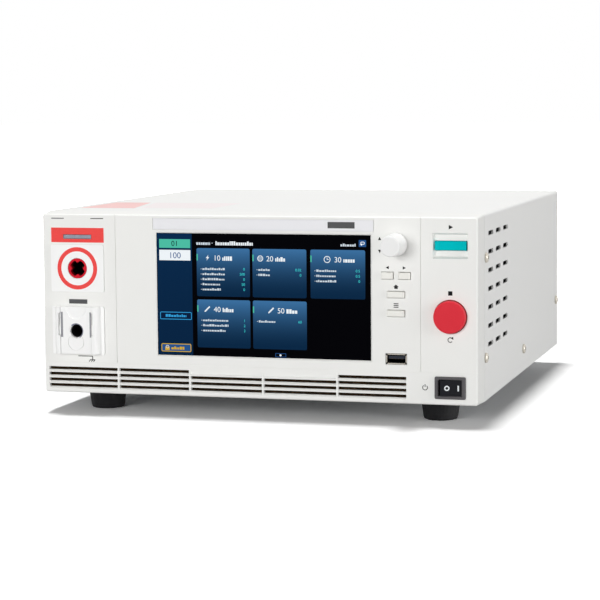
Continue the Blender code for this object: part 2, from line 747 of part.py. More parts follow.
def top_cover(material):
    shape = bmesh.new()
    add_prism(shape, cover_outline(), "Y", COVER_FRONT, BACK)
    cover = make_object("top_cover", shape, material)
    slots = bmesh.new()
    radius = SIDE_SLOT_WIDTH / 2 * 0.6
    for column in range(SIDE_SLOT_COLUMNS):
        y = FRONT + SIDE_SLOT_START + column * SIDE_SLOT_PITCH
        for row in range(SIDE_SLOT_ROWS):
            z = BASE + SIDE_SLOT_RISE + row * SIDE_SLOT_STEP
            outline = rounded_centred(y, z, SIDE_SLOT_LENGTH, SIDE_SLOT_WIDTH, radius, 1)
            for side in (LEFT, RIGHT):
                add_prism(slots, outline, "X", side - 2 * COVER_SHEET, side + 2 * COVER_SHEET)
    cut(cover, "cover_slots", slots)
    drill_screw_holes(cover, screw_places())


def foot_places():
    """Name and centre of each foot."""
    return [(f"{end}_{side}", x, y)
            for end, y in (("front", FRONT + FOOT_FRONT), ("rear", BACK - FOOT_FRONT))
            for side, x in (("left", LEFT + FOOT_SIDE), ("right", RIGHT - FOOT_SIDE))]


def standoff_places():
    """Corners of the two boards that lie over the chassis floor."""
    inset = 2 * STANDOFF_RADIUS
    places = []
    for x_range, y_range in board_extents().values():
        places += [(x, y) for x in (x_range[0] + inset, x_range[1] - inset)
                   for y in (y_range[0] + inset, y_range[1] - inset)]
    return places


def board_extents():
    """X and Y ranges of the level boards."""
    interface_left = LEFT + INTERFACE_BOARD_INSET
    power_left = LEFT + POWER_BOARD_INSET
    back = REAR_INNER - GAP
    return {
        "interface_board": ((interface_left, interface_left + INTERFACE_BOARD_WIDTH),
                            (back - INTERFACE_BOARD_LENGTH, back)),
        "power_board": ((power_left, power_left + POWER_BOARD_WIDTH),
                        (FRONT + POWER_BOARD_FRONT, BACK - POWER_BOARD_BACK)),
    }


def bottom_chassis(material):
    """Floor with two raised sides, bent from one sheet, and its standoffs."""
    outer = [(-INNER_X, CHASSIS_BOTTOM + CHASSIS_FLANGE), (-INNER_X, CHASSIS_BOTTOM),
             (INNER_X, CHASSIS_BOTTOM), (INNER_X, CHASSIS_BOTTOM + CHASSIS_FLANGE)]
    inner_x = INNER_X - CHASSIS_SHEET
    inner = [(inner_x, CHASSIS_BOTTOM + CHASSIS_FLANGE), (inner_x, CHASSIS_TOP),
             (-inner_x, CHASSIS_TOP), (-inner_x, CHASSIS_BOTTOM + CHASSIS_FLANGE)]
    shape = bmesh.new()
    add_prism(shape, outer + inner, "Y", CHASSIS_FRONT, REAR_FACE - GAP)
    chassis = make_object("bottom_chassis", shape, material)
    notches = bmesh.new()
    notch_front = REAR_FACE - REAR_FLANGE - GAP
    for x in (-INNER_X, INNER_X):
        add_box(notches, x - 2 * CHASSIS_SHEET, x + 2 * CHASSIS_SHEET, notch_front, REAR_FACE + PAST,
                CHASSIS_TOP, TOP)
    cut(chassis, "chassis_notches", notches)
    standoffs = bmesh.new()
    for x, y in standoff_places():
        profile = [(STANDOFF_RADIUS, CHASSIS_TOP - CHASSIS_SHEET / 2),
                   (STANDOFF_RADIUS, CHASSIS_TOP + STANDOFF_HEIGHT)]
        add_turned(standoffs, x, y, "Z", profile, 12)
    fuse(chassis, "chassis_standoffs", standoffs)
    holes = bmesh.new()
    for _, x, y in foot_places():
        radius = FOOT_SCREW_RADIUS + GAP
        profile = [(radius, CHASSIS_BOTTOM - PAST), (radius, CHASSIS_TOP + PAST)]
        add_turned(holes, x, y, "Z", profile, 16)
    cut(chassis, "chassis_foot_holes", holes)
    drill_screw_holes(chassis, screw_places()[2:3])


def rear_cutouts():
    """Openings of the rear panel, each with room around what it holds."""
    return [
        circle(FAN_X, FAN_Z, FAN_BORE_RADIUS - GAP, 40),
        centred(INLET_X, REAR_ROW_Z, INLET_BODY_WIDTH, INLET_BODY_HEIGHT, GAP),
        circle(GROUND_X, REAR_ROW_Z, GROUND_STUD_RADIUS + GAP, 16),
        centred(SIGNAL_X, REAR_ROW_Z, SIGNAL_SHELL_WIDTH, DSUB_SHELL_HEIGHT, 2 * GAP),
        centred(SERIAL_X, REAR_ROW_Z, SERIAL_SHELL_WIDTH, DSUB_SHELL_HEIGHT, 2 * GAP),
        centred(LAN_X, REAR_ROW_Z, LAN_WIDTH, LAN_HEIGHT, GAP),
        centred(USB_DEVICE_X, REAR_ROW_Z, USB_DEVICE_WIDTH, USB_DEVICE_HEIGHT, GAP),
    ]


def rear_panel(material):
    """A shallow tray that faces forwards."""
    low = CHASSIS_TOP + GAP
    high = TOP - LIP_INSET
    shape = bmesh.new()
    add_box(shape, -INNER_X, INNER_X, REAR_FACE - REAR_FLANGE, REAR_FACE, low, high)
    panel = make_object("rear_panel", shape, material)
    hollow = bmesh.new()
    add_box(hollow, REAR_SHEET - INNER_X, INNER_X - REAR_SHEET, REAR_FACE - REAR_FLANGE - PAST, REAR_INNER,
            low - PAST, high - REAR_SHEET)
    cut(panel, "rear_hollow", hollow)
    holes = bmesh.new()
    for outline in rear_cutouts():
        add_prism(holes, outline, "Y", REAR_INNER - PAST, REAR_FACE + PAST)
    cut(panel, "rear_cutouts", holes)
    drill_screw_holes(panel, screw_places()[3:])


def feet(rubber, steel):
    for name, x, y in foot_places():
        shape = bmesh.new()
        bore_top = FOOT_BORE_DEPTH
        profile = [
            (FOOT_BASE_RADIUS - FOOT_EDGE, 0.0), (FOOT_BASE_RADIUS - FOOT_EDGE * 0.3, FOOT_EDGE * 0.3),
            (FOOT_BASE_RADIUS, FOOT_EDGE), (FOOT_TOP_RADIUS, BASE - FOOT_EDGE / 3),
            (FOOT_TOP_RADIUS - FOOT_EDGE / 3, BASE), (FOOT_SCREW_RADIUS + GAP, BASE),
            (FOOT_SCREW_RADIUS + GAP, bore_top), (FOOT_BORE_RADIUS, bore_top), (FOOT_BORE_RADIUS, 0.0),
        ]
        add_turned(shape, x, y, "Z", profile, 32, closed=True)
        make_object("foot_" + name, shape, rubber, (x, y, 0.0))
        shape = bmesh.new()
        head_top = bore_top - GAP
        profile = [(FOOT_SCREW_HEAD_RADIUS * 0.8, head_top - FOOT_SCREW_HEAD_HEIGHT),
                   (FOOT_SCREW_HEAD_RADIUS, head_top - FOOT_SCREW_HEAD_HEIGHT * 0.7),
                   (FOOT_SCREW_HEAD_RADIUS, head_top), (FOOT_SCREW_RADIUS, head_top),
                   (FOOT_SCREW_RADIUS, CHASSIS_TOP + FOOT_SCREW_REACH)]
        add_turned(shape, x, y, "Z", profile, 16)
        make_object("foot_screw_" + name, shape, steel, (x, y, 0.0))


def cover_screws(steel):
    for side, x, outwards in (("left", LEFT, -1), ("right", RIGHT, 1)):
        for number, (y, z) in enumerate(screw_places(), 1):
            seat = x + outwards * GAP
            profile = [(SCREW_SHANK_RADIUS, seat - outwards * SCREW_SHANK_LENGTH),
                       (SCREW_SHANK_RADIUS, seat),
                       (SCREW_HEAD_RADIUS, seat),
                       (SCREW_HEAD_RADIUS, seat + outwards * SCREW_HEAD_HEIGHT * 0.45),
                       (SCREW_HEAD_RADIUS * 0.8, seat + outwards * SCREW_HEAD_HEIGHT * 0.85),
                       (SCREW_HEAD_RADIUS * 0.45, seat + outwards * SCREW_HEAD_HEIGHT)]
            shape = bmesh.new()
            add_turned(shape, y, z, "X", profile, 16)
            make_object(f"cover_screw_{side}_{number}", shape, steel, (x, y, z))


# Screen
def name_strip(material):
    shape = bmesh.new()
    outline = centred(SCREEN_X, TOP - STRIP_DROP, SCREEN_WIDTH + 2 * STRIP_OVERHANG, STRIP_HEIGHT)
    add_prism(shape, outline, "Y", FRONT, FRONT + STRIP_THICKNESS)
    make_object("name_strip", shape, material)


def touch_panel(material):
    shape = bmesh.new()
    outline = centred(SCREEN_X, SCREEN_Z, SCREEN_WIDTH, SCREEN_HEIGHT, SCREEN_OVERLAP - GAP)
    start = FRONT + SCREEN_LEDGE + GAP
    add_prism(shape, outline, "Y", start, min(start + TOUCH_THICKNESS, BEZEL_BACK))
    make_object("touch_panel", shape, material)


def lcd_module(material):
    shape = bmesh.new()
    width = SCREEN_WIDTH + 2 * LCD_BORDER
    height = SCREEN_HEIGHT + 2 * LCD_BORDER_HEIGHT
    add_prism(shape, centred(SCREEN_X, SCREEN_Z, width, height), "Y", LCD_FRONT, LCD_FRONT + LCD_THICKNESS)
    make_object("lcd_module", shape, material)


def lcd_bracket(material):
    """Sheet behind the display with four ears, and the posts of the control board."""
    left = SCREEN_LEFT - LCD_BORDER
    right = SCREEN_RIGHT + LCD_BORDER
    low = SCREEN_Z - SCREEN_HEIGHT / 2 - LCD_BORDER_HEIGHT
    high = SCREEN_Z + SCREEN_HEIGHT / 2 + LCD_BORDER_HEIGHT
    back = BRACKET_FRONT + BRACKET_SHEET
    shape = bmesh.new()
    add_box(shape, left, right, BRACKET_FRONT, back, low, high)
    bracket = make_object("lcd_bracket", shape, material)
    ears = bmesh.new()
    for rise in BRACKET_EAR_RISES:
        z = BAND_Z + rise
        half = BRACKET_EAR_HEIGHT / 2
        for edge in (left, right):
            start, end = edge - BRACKET_EAR, edge + BRACKET_EAR
            add_box(ears, start, end, BRACKET_FRONT, back, z - half, z + half)
    fuse(bracket, "bracket_ears", ears)
    posts = bmesh.new()
    for x in (left + 2 * CONTROL_BOARD_MARGIN, right - 2 * CONTROL_BOARD_MARGIN):
        for z in (low + 2 * CONTROL_BOARD_MARGIN, high - 2 * CONTROL_BOARD_MARGIN):
            add_turned(posts, x, z, "Y", [(STANDOFF_RADIUS, back - BRACKET_SHEET / 2),
                                          (STANDOFF_RADIUS, back + BRACKET_POST)], 12)
    fuse(bracket, "bracket_posts", posts)


def control_board(material):
    """Upright board with its processor, memory and connectors on the side that faces back."""
    front = BRACKET_FRONT + BRACKET_SHEET + BRACKET_POST + GAP
    back = front + BOARD_THICKNESS
    left = SCREEN_LEFT - LCD_BORDER + CONTROL_BOARD_MARGIN
    right = SCREEN_RIGHT + LCD_BORDER - CONTROL_BOARD_MARGIN
    low = SCREEN_Z - SCREEN_HEIGHT / 2 + GAP
    high = SCREEN_Z + SCREEN_HEIGHT / 2 - GAP
    shape = bmesh.new()
    add_box(shape, left, right, front, back, low, high)
    board = make_object("control_board", shape, material)
    parts = bmesh.new()
    root = back - BOARD_THICKNESS / 2
    for x, z, width, height, thickness in (
            (0.35, 0.55, 2.7, 2.7, 0.22), (0.58, 0.55, 1.4, 2.0, 0.15), (0.72, 0.30, 2.0, 1.4, 0.20),
            (0.15, 0.25, 1.2, 3.0, 0.80), (0.50, 0.12, 5.0, 0.7, 0.85), (0.86, 0.75, 1.0, 2.4, 0.60)):
        centre = (left + x * (right - left), low + z * (high - low))
        outline = centred(*centre, width * BOARD_PART, height * BOARD_PART)
        add_prism(parts, outline, "Y", root, back + thickness * BOARD_PART)
    fuse(board, "control_board_parts", parts)


# Output terminals
def lamp_lens(material):
    """Window of the output lamp, held by a flange behind the front."""
    shape = bmesh.new()
    add_loft(shape, [
        at(centred(OUTPUT_X, LAMP_Z, LAMP_WIDTH, LAMP_HEIGHT, -2 * GAP), "Y", FRONT - LAMP_PROUD),
        at(centred(OUTPUT_X, LAMP_Z, LAMP_WIDTH, LAMP_HEIGHT, -GAP), "Y", FRONT),
        at(centred(OUTPUT_X, LAMP_Z, LAMP_WIDTH, LAMP_HEIGHT, -GAP), "Y", BEZEL_BACK + GAP),
        at(centred(OUTPUT_X, LAMP_Z, LAMP_WIDTH, LAMP_HEIGHT, BEZEL_FACE / 3), "Y", BEZEL_BACK + GAP),
        at(centred(OUTPUT_X, LAMP_Z, LAMP_WIDTH, LAMP_HEIGHT, BEZEL_FACE / 3), "Y",
           BEZEL_BACK + BEZEL_FACE / 2),
    ])
    make_object("output_lamp_lens", shape, material)


def keyed_circle():
    """A circle with teeth that point inwards, as the high-voltage plug needs."""
    points = []
    per_tooth = 12
    for step in range(HV_TEETH * per_tooth):
        angle = math.tau * step / (HV_TEETH * per_tooth)
        off_centre = abs((angle + math.pi / HV_TEETH) % (math.tau / HV_TEETH) - math.pi / HV_TEETH)
        depth = HV_TOOTH_DEPTH * max(0.0, 1 - (off_centre / HV_TOOTH_ANGLE) ** 2)
        radius = HV_BORE_RADIUS - depth
        points.append((OUTPUT_X + radius * math.cos(angle), HV_Z + radius * math.sin(angle)))
    return points


def hv_terminal(white, red, metal):
    shape = bmesh.new()
    outline = rounded_centred(OUTPUT_X, HV_Z, HV_PLATE_WIDTH, HV_PLATE_HEIGHT, PLATE_CORNER)
    add_prism(shape, outline, "Y", PLATE_FRONT, PLATE_BACK)
    plate = make_object("hv_terminal_plate", shape, white)
    hole = bmesh.new()
    add_prism(hole, circle(OUTPUT_X, HV_Z, HV_SOCKET_RADIUS + GAP), "Y",
              PLATE_FRONT - PAST, PLATE_BACK + PAST)
    cut(plate, "hv_plate_hole", hole)

    end = FRONT + HV_SOCKET_DEPTH
    flange_front = BEZEL_BACK + GAP
    flange_back = flange_front + HV_FLANGE_THICKNESS
    shape = bmesh.new()
    profile = [(HV_SOCKET_RADIUS, PLATE_FRONT + GAP), (HV_SOCKET_RADIUS, flange_front),
               (HV_FLANGE_RADIUS, flange_front), (HV_FLANGE_RADIUS, flange_back),
               (HV_SOCKET_RADIUS, flange_back), (HV_SOCKET_RADIUS, end)]
    add_turned(shape, OUTPUT_X, HV_Z, "Y", profile)
    socket = make_object("hv_socket", shape, red)
    bore = bmesh.new()
    add_prism(bore, keyed_circle(), "Y", PLATE_FRONT - PAST, end - HV_FLANGE_THICKNESS)
    cut(socket, "hv_bore", bore)
    pin_hole = bmesh.new()
    pin_room = circle(OUTPUT_X, HV_Z, HV_PIN_RADIUS + GAP, 16)
    add_prism(pin_hole, pin_room, "Y", end - 2 * HV_FLANGE_THICKNESS, end + PAST)
    cut(socket, "hv_pin_hole", pin_hole)

    shape = bmesh.new()
    tip = FRONT + HV_PIN_TIP
    profile = [(HV_PIN_RADIUS * 0.5, tip), (HV_PIN_RADIUS, tip + HV_PIN_RADIUS),
               (HV_PIN_RADIUS, end + HV_PIN_TAIL)]
    add_turned(shape, OUTPUT_X, HV_Z, "Y", profile, 16)
    make_object("hv_contact", shape, metal)


def low_block_outline():
    """The raised block seen from above, with its rounded flanks."""
    foot = LOW_BLOCK_WIDTH / 2
    face = LOW_BLOCK_FACE / 2
    steps = 4
    flank = []
    for step in range(steps + 1):
        angle = math.pi / 2 * step / steps
        flank.append((face + (foot - face) * math.cos(angle),
                      PLATE_BACK - LOW_BLOCK_PROUD * math.sin(angle)))
    right = [(OUTPUT_X + x, y) for x, y in flank]
    left = [(OUTPUT_X - x, y) for x, y in flank[::-1]]
    return right + left


SLIDER_FRONT = PLATE_BACK - LOW_BLOCK_PROUD + SLIDER_SINK
SLIDER_REAR = PLATE_BACK - SLIDER_BACK
SLIDER_STEP = SLIDER_REAR - SLIDER_FLANGE_THICKNESS
BLOCK_LOW = LOW_Z - LOW_PLATE_HEIGHT / 2 + PLATE_THICKNESS
BLOCK_HIGH = BLOCK_LOW + LOW_BLOCK_HEIGHT
WINDOW_HIGH = BLOCK_HIGH - WINDOW_TOP
LUG_LOW = WINDOW_HIGH - SLIDER_TRAVEL - SLIDER_LUG_LENGTH - RUNNING


def slider_section(play):
    """The slider seen from above: a plate with a thin flange along each edge."""
    flange = SLIDER_WIDTH / 2 + SLIDER_FLANGE + play
    plate = SLIDER_WIDTH / 2 + play
    half = [(flange, SLIDER_REAR + play), (flange, SLIDER_STEP - play), (plate, SLIDER_STEP - play),
            (plate, SLIDER_FRONT - (PAST if play else 0.0))]
    return [(OUTPUT_X + x, y) for x, y in half] + [(OUTPUT_X - x, y) for x, y in half[::-1]]


def low_terminal_block(material):
    shape = bmesh.new()
    outline = rounded_centred(OUTPUT_X, LOW_Z, LOW_PLATE_WIDTH, LOW_PLATE_HEIGHT, PLATE_CORNER)
    add_prism(shape, outline, "Y", PLATE_FRONT, PLATE_BACK)
    block = make_object("low_terminal_block", shape, material)
    raised = bmesh.new()
    add_prism(raised, low_block_outline(), "Z", BLOCK_LOW, BLOCK_HIGH)
    fuse(block, "low_raised_block", raised)
    boss = bmesh.new()
    profile = [(LOW_BOSS_RADIUS, PLATE_BACK - PLATE_THICKNESS / 2),
               (LOW_BOSS_RADIUS, FRONT + LOW_BOSS_DEPTH)]
    add_turned(boss, OUTPUT_X, LOW_Z, "Y", profile)
    fuse(block, "low_boss", boss)
    channel = bmesh.new()
    add_prism(channel, slider_section(GAP), "Z", BLOCK_LOW - PAST, BLOCK_HIGH + PAST)
    cut(block, "low_channel", channel)
    windows = bmesh.new()
    for side in (-1, 1):
        start = OUTPUT_X + side * SLIDER_WIDTH / 2
        end = start + side * WINDOW_WIDTH
        add_box(windows, min(start, end), max(start, end), SLIDER_FRONT - LOW_BLOCK_PROUD, SLIDER_STEP,
                LUG_LOW - RUNNING, WINDOW_HIGH)
    cut(block, "low_windows", windows)
    bore = bmesh.new()
    add_prism(bore, circle(OUTPUT_X, LOW_Z, LOW_SOCKET_RADIUS + GAP), "Y", SLIDER_REAR - PAST,
              FRONT + LOW_BOSS_DEPTH + PAST)
    cut(block, "low_bore", bore)


def low_socket(material):
    """Shroud with a narrower hole at its end, where the plug's pin makes contact."""
    start = SLIDER_REAR + 2 * GAP
    end = FRONT + LOW_SOCKET_END
    step = end - LOW_CONTACT_LENGTH
    shape = bmesh.new()
    profile = [(LOW_SOCKET_RADIUS, start), (LOW_SOCKET_RADIUS, end), (LOW_CONTACT_BORE, end),
               (LOW_CONTACT_BORE, step), (LOW_SOCKET_BORE, step), (LOW_SOCKET_BORE, start)]
    add_turned(shape, OUTPUT_X, LOW_Z, "Y", profile, 24, closed=True)
    make_object("low_socket", shape, material)


def low_lock_slider(material):
    """Shutter with a plug hole above and a blind ring below; up is locked."""
    origin = (OUTPUT_X, SLIDER_FRONT, LOW_Z)
    shape = bmesh.new()
    add_prism(shape, slider_section(0.0), "Z", BLOCK_LOW, BLOCK_HIGH)
    slider = make_object("low_lock_slider", shape, material, origin)
    lugs = bmesh.new()
    for side in (-1, 1):
        start = OUTPUT_X + side * (SLIDER_WIDTH / 2 - SLIDER_FLANGE)
        end = OUTPUT_X + side * (SLIDER_WIDTH / 2 + SLIDER_FLANGE)
        add_box(lugs, min(start, end), max(start, end), (SLIDER_FRONT + SLIDER_STEP) / 2,
                SLIDER_STEP + SLIDER_FLANGE_THICKNESS / 2, LUG_LOW, LUG_LOW + SLIDER_LUG_LENGTH)
    fuse(slider, "slider_lugs", lugs)
    hole = bmesh.new()
    profile = [(LOW_BORE_RADIUS + 2 * SLIDER_BEVEL, SLIDER_FRONT - SLIDER_BEVEL),
               (LOW_BORE_RADIUS, SLIDER_FRONT + SLIDER_BEVEL), (LOW_BORE_RADIUS, SLIDER_REAR + PAST)]
    add_turned(hole, OUTPUT_X, LOW_Z, "Y", profile)
    cut(slider, "slider_hole", hole)
    ring = bmesh.new()
    profile = [(SLIDER_DISH_RADIUS, SLIDER_FRONT - PAST),
               (SLIDER_DISH_RADIUS, SLIDER_FRONT + SLIDER_DISH_DEPTH),
               (SLIDER_DISH_RADIUS - SLIDER_RING, SLIDER_FRONT + SLIDER_DISH_DEPTH),
               (SLIDER_DISH_RADIUS - SLIDER_RING, SLIDER_FRONT - PAST)]
    add_turned(ring, OUTPUT_X, LOW_Z - SLIDER_TRAVEL, "Y", profile, 32, closed=True)
    cut(slider, "slider_ring", ring)
    thumb = bmesh.new()
    dish = [(THUMB_RADIUS + PAST, SLIDER_FRONT - PAST), (THUMB_RADIUS, SLIDER_FRONT),
            (THUMB_RADIUS - SLIDER_RING, SLIDER_FRONT + SLIDER_DISH_DEPTH)]
    add_turned(thumb, OUTPUT_X, BLOCK_HIGH - SLIDER_RING, "Y", dish)
    cut(slider, "slider_thumb_dish", thumb)


# Key panel
def jog_knob(material):
    """Turning knob with a blind bore for the encoder's shaft."""
    back = FRONT - KNOB_LIFT
    face = back - KNOB_LENGTH
    bore = ENCODER_SHAFT_RADIUS + GAP
    shape = bmesh.new()
    profile = [
        (bore, FRONT - ENCODER_SHAFT_REACH - GAP), (bore, back), (KNOB_RADIUS, back),
        (KNOB_RADIUS, back - KNOB_LENGTH * 0.06), (KNOB_RADIUS - KNOB_DRAFT, back - KNOB_LENGTH * 0.14),
        (KNOB_FACE_RADIUS + KNOB_DRAFT, back - KNOB_LENGTH * 0.6), (KNOB_FACE_RADIUS, face + KNOB_EDGE),
        (KNOB_FACE_RADIUS - KNOB_EDGE / 3, face + KNOB_EDGE / 4), (KNOB_FACE_RADIUS - KNOB_EDGE, face),
    ]
    add_turned(shape, KEY_X, KNOB_Z, "Y", profile, 48)
    make_object("jog_knob", shape, material, (KEY_X, face, KNOB_Z))


def rotary_encoder(material):
    shape = bmesh.new()
    body_front = BEZEL_BACK + GAP
    add_prism(shape, centred(KEY_X, KNOB_Z, ENCODER_SIZE, ENCODER_SIZE), "Y",
              body_front, KEY_BOARD_FRONT - GAP)
    encoder = make_object("rotary_encoder", shape, material)
    shaft = bmesh.new()
    profile = [(ENCODER_SHAFT_RADIUS, FRONT - ENCODER_SHAFT_REACH),
               (ENCODER_SHAFT_RADIUS, FRONT - ENCODER_BUSH_PROUD),
               (ENCODER_BUSH_RADIUS, FRONT - ENCODER_BUSH_PROUD),
               (ENCODER_BUSH_RADIUS, body_front + ENCODER_SIZE / 4)]
    add_turned(shaft, KEY_X, KNOB_Z, "Y", profile, 24)
    fuse(encoder, "encoder_shaft", shaft)


def keys(material):
    """Four push keys, each held behind the front by its flange."""
    flange_front = BEZEL_BACK + GAP
    flange_back = flange_front + KEY_FLANGE_THICKNESS
    for name, (x, z, width, height) in KEYS.items():
        shape = bmesh.new()
        add_loft(shape, [at(centred(x, z, width, height, grow), "Y", y) for grow, y in (
            (-KEY_EDGE, FRONT - KEY_PROUD), (0.0, FRONT - KEY_PROUD + KEY_EDGE), (0.0, flange_front),
            (KEY_FLANGE, flange_front), (KEY_FLANGE, flange_back))])
        key = make_object(name, shape, material, (x, FRONT - KEY_PROUD, z))
        stem = bmesh.new()
        profile = [(KEY_STEM_RADIUS, flange_back - KEY_FLANGE_THICKNESS / 2),
                   (KEY_STEM_RADIUS, flange_back + KEY_STEM_LENGTH)]
        add_turned(stem, x, z, "Y", profile, 12)
        fuse(key, name + "_stem", stem)


def key_board(material):
    """Upright board with the four key switches."""
    left = SCREEN_RIGHT + 2 * LCD_BORDER
    right = RIGHT - BEZEL_TAPER - BEZEL_WALL - POST_RADIUS / 2
    high = TOP - BEZEL_TAPER - BEZEL_WALL - 2 * GAP
    shape = bmesh.new()
    back = KEY_BOARD_FRONT + BOARD_THICKNESS
    add_box(shape, left, right, KEY_BOARD_FRONT, back, BAND_Z + POST_RADIUS, high)
    board = make_object("key_board", shape, material)
    switches = bmesh.new()
    switch_front = BEZEL_BACK + GAP + KEY_FLANGE_THICKNESS + KEY_STEM_LENGTH + KEY_TRAVEL + GAP
    for x, z, _, _ in KEYS.values():
        outline = centred(x, z, KEY_SWITCH_SIZE, KEY_SWITCH_SIZE)
        add_prism(switches, outline, "Y", switch_front, KEY_BOARD_FRONT + BOARD_THICKNESS / 2)
    fuse(board, "key_switches", switches)


def octagon(x, z, width, height, corner):
    return rounded_centred(x, z, width, height, corner, 1)


def usb_host_port(material):
    """Metal shell with a flared mouth and the tongue inside it."""
    shell_width = USB_MOUTH_WIDTH + 2 * USB_SHELL
    shell_height = USB_MOUTH_HEIGHT + 2 * USB_SHELL
    end = KEY_BOARD_FRONT - GAP
    corner = USB_SHELL * 2
    shape = bmesh.new()
    add_loft(shape, [
        at(octagon(KEY_X, USB_Z, USB_FLANGE_WIDTH, USB_FLANGE_HEIGHT, corner), "Y", FRONT + GAP),
        at(octagon(KEY_X, USB_Z, USB_FLANGE_WIDTH, USB_FLANGE_HEIGHT, corner), "Y",
           FRONT + GAP + USB_SHELL),
        at(octagon(KEY_X, USB_Z, shell_width, shell_height, corner / 2), "Y", FRONT + 4 * USB_SHELL),
        at(octagon(KEY_X, USB_Z, shell_width, shell_height, corner / 2), "Y", end),
    ])
    port = make_object("usb_host_port", shape, material)
    mouth = bmesh.new()
    grow = USB_SHELL
    rings = (
        (2 * grow, FRONT + GAP - 2 * grow),
        (0.0, FRONT + GAP + 2 * grow),
        (0.0, min(FRONT + USB_LENGTH, end - USB_SHELL)),
    )
    add_loft(mouth, [at(centred(KEY_X, USB_Z, USB_MOUTH_WIDTH, USB_MOUTH_HEIGHT, extra), "Y", y)
                     for extra, y in rings])
    cut(port, "usb_mouth", mouth)
    tongue = bmesh.new()
    z = USB_Z + USB_TONGUE_THICKNESS / 2
    outline = centred(KEY_X, z, USB_TONGUE_WIDTH, USB_TONGUE_THICKNESS)
    add_prism(tongue, outline, "Y", FRONT + USB_TONGUE_START, end - USB_SHELL / 2)
    fuse(port, "usb_tongue", tongue)


# Switch panel
def switch_front(flange_back, travel):
    """Front of a switch that leaves its button's flange room for its travel."""
    return flange_back + travel + RUNNING


def start_button(material):
    """Bar with a dished face, held behind the recess by its flange."""
    half = START_BAR_WIDTH / 2
    flat = START_BAR_FLAT / 2
    end_y = FRONT + START_BAR_END
    back = FRONT + START_BOSS_DEPTH + GAP
    outline = [(SWITCH_X - half, end_y), (SWITCH_X - flat, end_y + START_BAR_DISH),
               (SWITCH_X + flat, end_y + START_BAR_DISH), (SWITCH_X + half, end_y),
               (SWITCH_X + half, back + START_FLANGE_THICKNESS / 2),
               (SWITCH_X - half, back + START_FLANGE_THICKNESS / 2)]
    shape = bmesh.new()
    add_prism(shape, outline, "Z", START_Z - START_BAR_HEIGHT / 2, START_Z + START_BAR_HEIGHT / 2)
    button = make_object("start_button", shape, material, (SWITCH_X, end_y, START_Z))
    flange = bmesh.new()
    outline = centred(SWITCH_X, START_Z, START_BAR_WIDTH, START_BAR_HEIGHT, START_FLANGE)
    add_prism(flange, outline, "Y", back, back + START_FLANGE_THICKNESS)
    fuse(button, "start_flange", flange)
    stem = bmesh.new()
    stem_root = back + START_FLANGE_THICKNESS / 2
    stem_end = switch_front(back + START_FLANGE_THICKNESS, START_TRAVEL) + STEM_ENGAGEMENT
    profile = [(START_STEM_RADIUS, stem_root), (START_STEM_RADIUS, stem_end)]
    add_turned(stem, SWITCH_X, START_Z, "Y", profile, 16)
    fuse(button, "start_stem", stem)


def stop_button(material):
    """Round button with a domed bevel, its retaining flange and its stem."""
    flange_front = BEZEL_BACK + GAP
    flange_back = flange_front + STOP_FLANGE_THICKNESS
    face = FRONT - STOP_PROUD
    rise = STOP_PROUD - STOP_RIM
    shape = bmesh.new()
    stem_end = switch_front(flange_back, STOP_TRAVEL) + STEM_ENGAGEMENT
    profile = [(STOP_STEM_RADIUS, stem_end), (STOP_STEM_RADIUS, flange_back),
               (STOP_RADIUS + STOP_FLANGE, flange_back), (STOP_RADIUS + STOP_FLANGE, flange_front),
               (STOP_RADIUS, flange_front), (STOP_RADIUS, FRONT - STOP_RIM)]
    steps = 4
    for step in range(1, steps + 1):
        angle = math.pi / 2 * step / steps
        profile.append((STOP_FACE_RADIUS + (STOP_RADIUS - STOP_FACE_RADIUS) * math.cos(angle),
                        FRONT - STOP_RIM - rise * 0.9 * math.sin(angle)))
    profile.append((STOP_FACE_RADIUS * 0.5, face + rise * 0.02))
    add_turned(shape, SWITCH_X, STOP_Z, "Y", profile, 48)
    make_object("stop_button", shape, material, (SWITCH_X, face, STOP_Z))


def panel_switch(name, z, flange_back, travel, stem_radius, material):
    """Square switch body on the key board, with a bore that takes a button's stem."""
    front = switch_front(flange_back, travel)
    shape = bmesh.new()
    outline = rounded_centred(SWITCH_X, z, SWITCH_BODY_SIZE, SWITCH_BODY_SIZE, PLATE_CORNER, 2)
    add_prism(shape, outline, "Y", front, KEY_BOARD_FRONT - GAP)
    switch = make_object(name, shape, material)
    bore = bmesh.new()
    bore_end = front + STEM_ENGAGEMENT + travel + GAP
    profile = [(stem_radius + GAP, front - PAST), (stem_radius + GAP, bore_end)]
    add_turned(bore, SWITCH_X, z, "Y", profile, 16)
    cut(switch, name + "_bore", bore)


def panel_switches(material):
    start_back = FRONT + START_BOSS_DEPTH + GAP + START_FLANGE_THICKNESS
    panel_switch("start_switch", START_Z, start_back, START_TRAVEL, START_STEM_RADIUS, material)
    stop_back = BEZEL_BACK + GAP + STOP_FLANGE_THICKNESS
    panel_switch("stop_switch", STOP_Z, stop_back, STOP_TRAVEL, STOP_STEM_RADIUS, material)


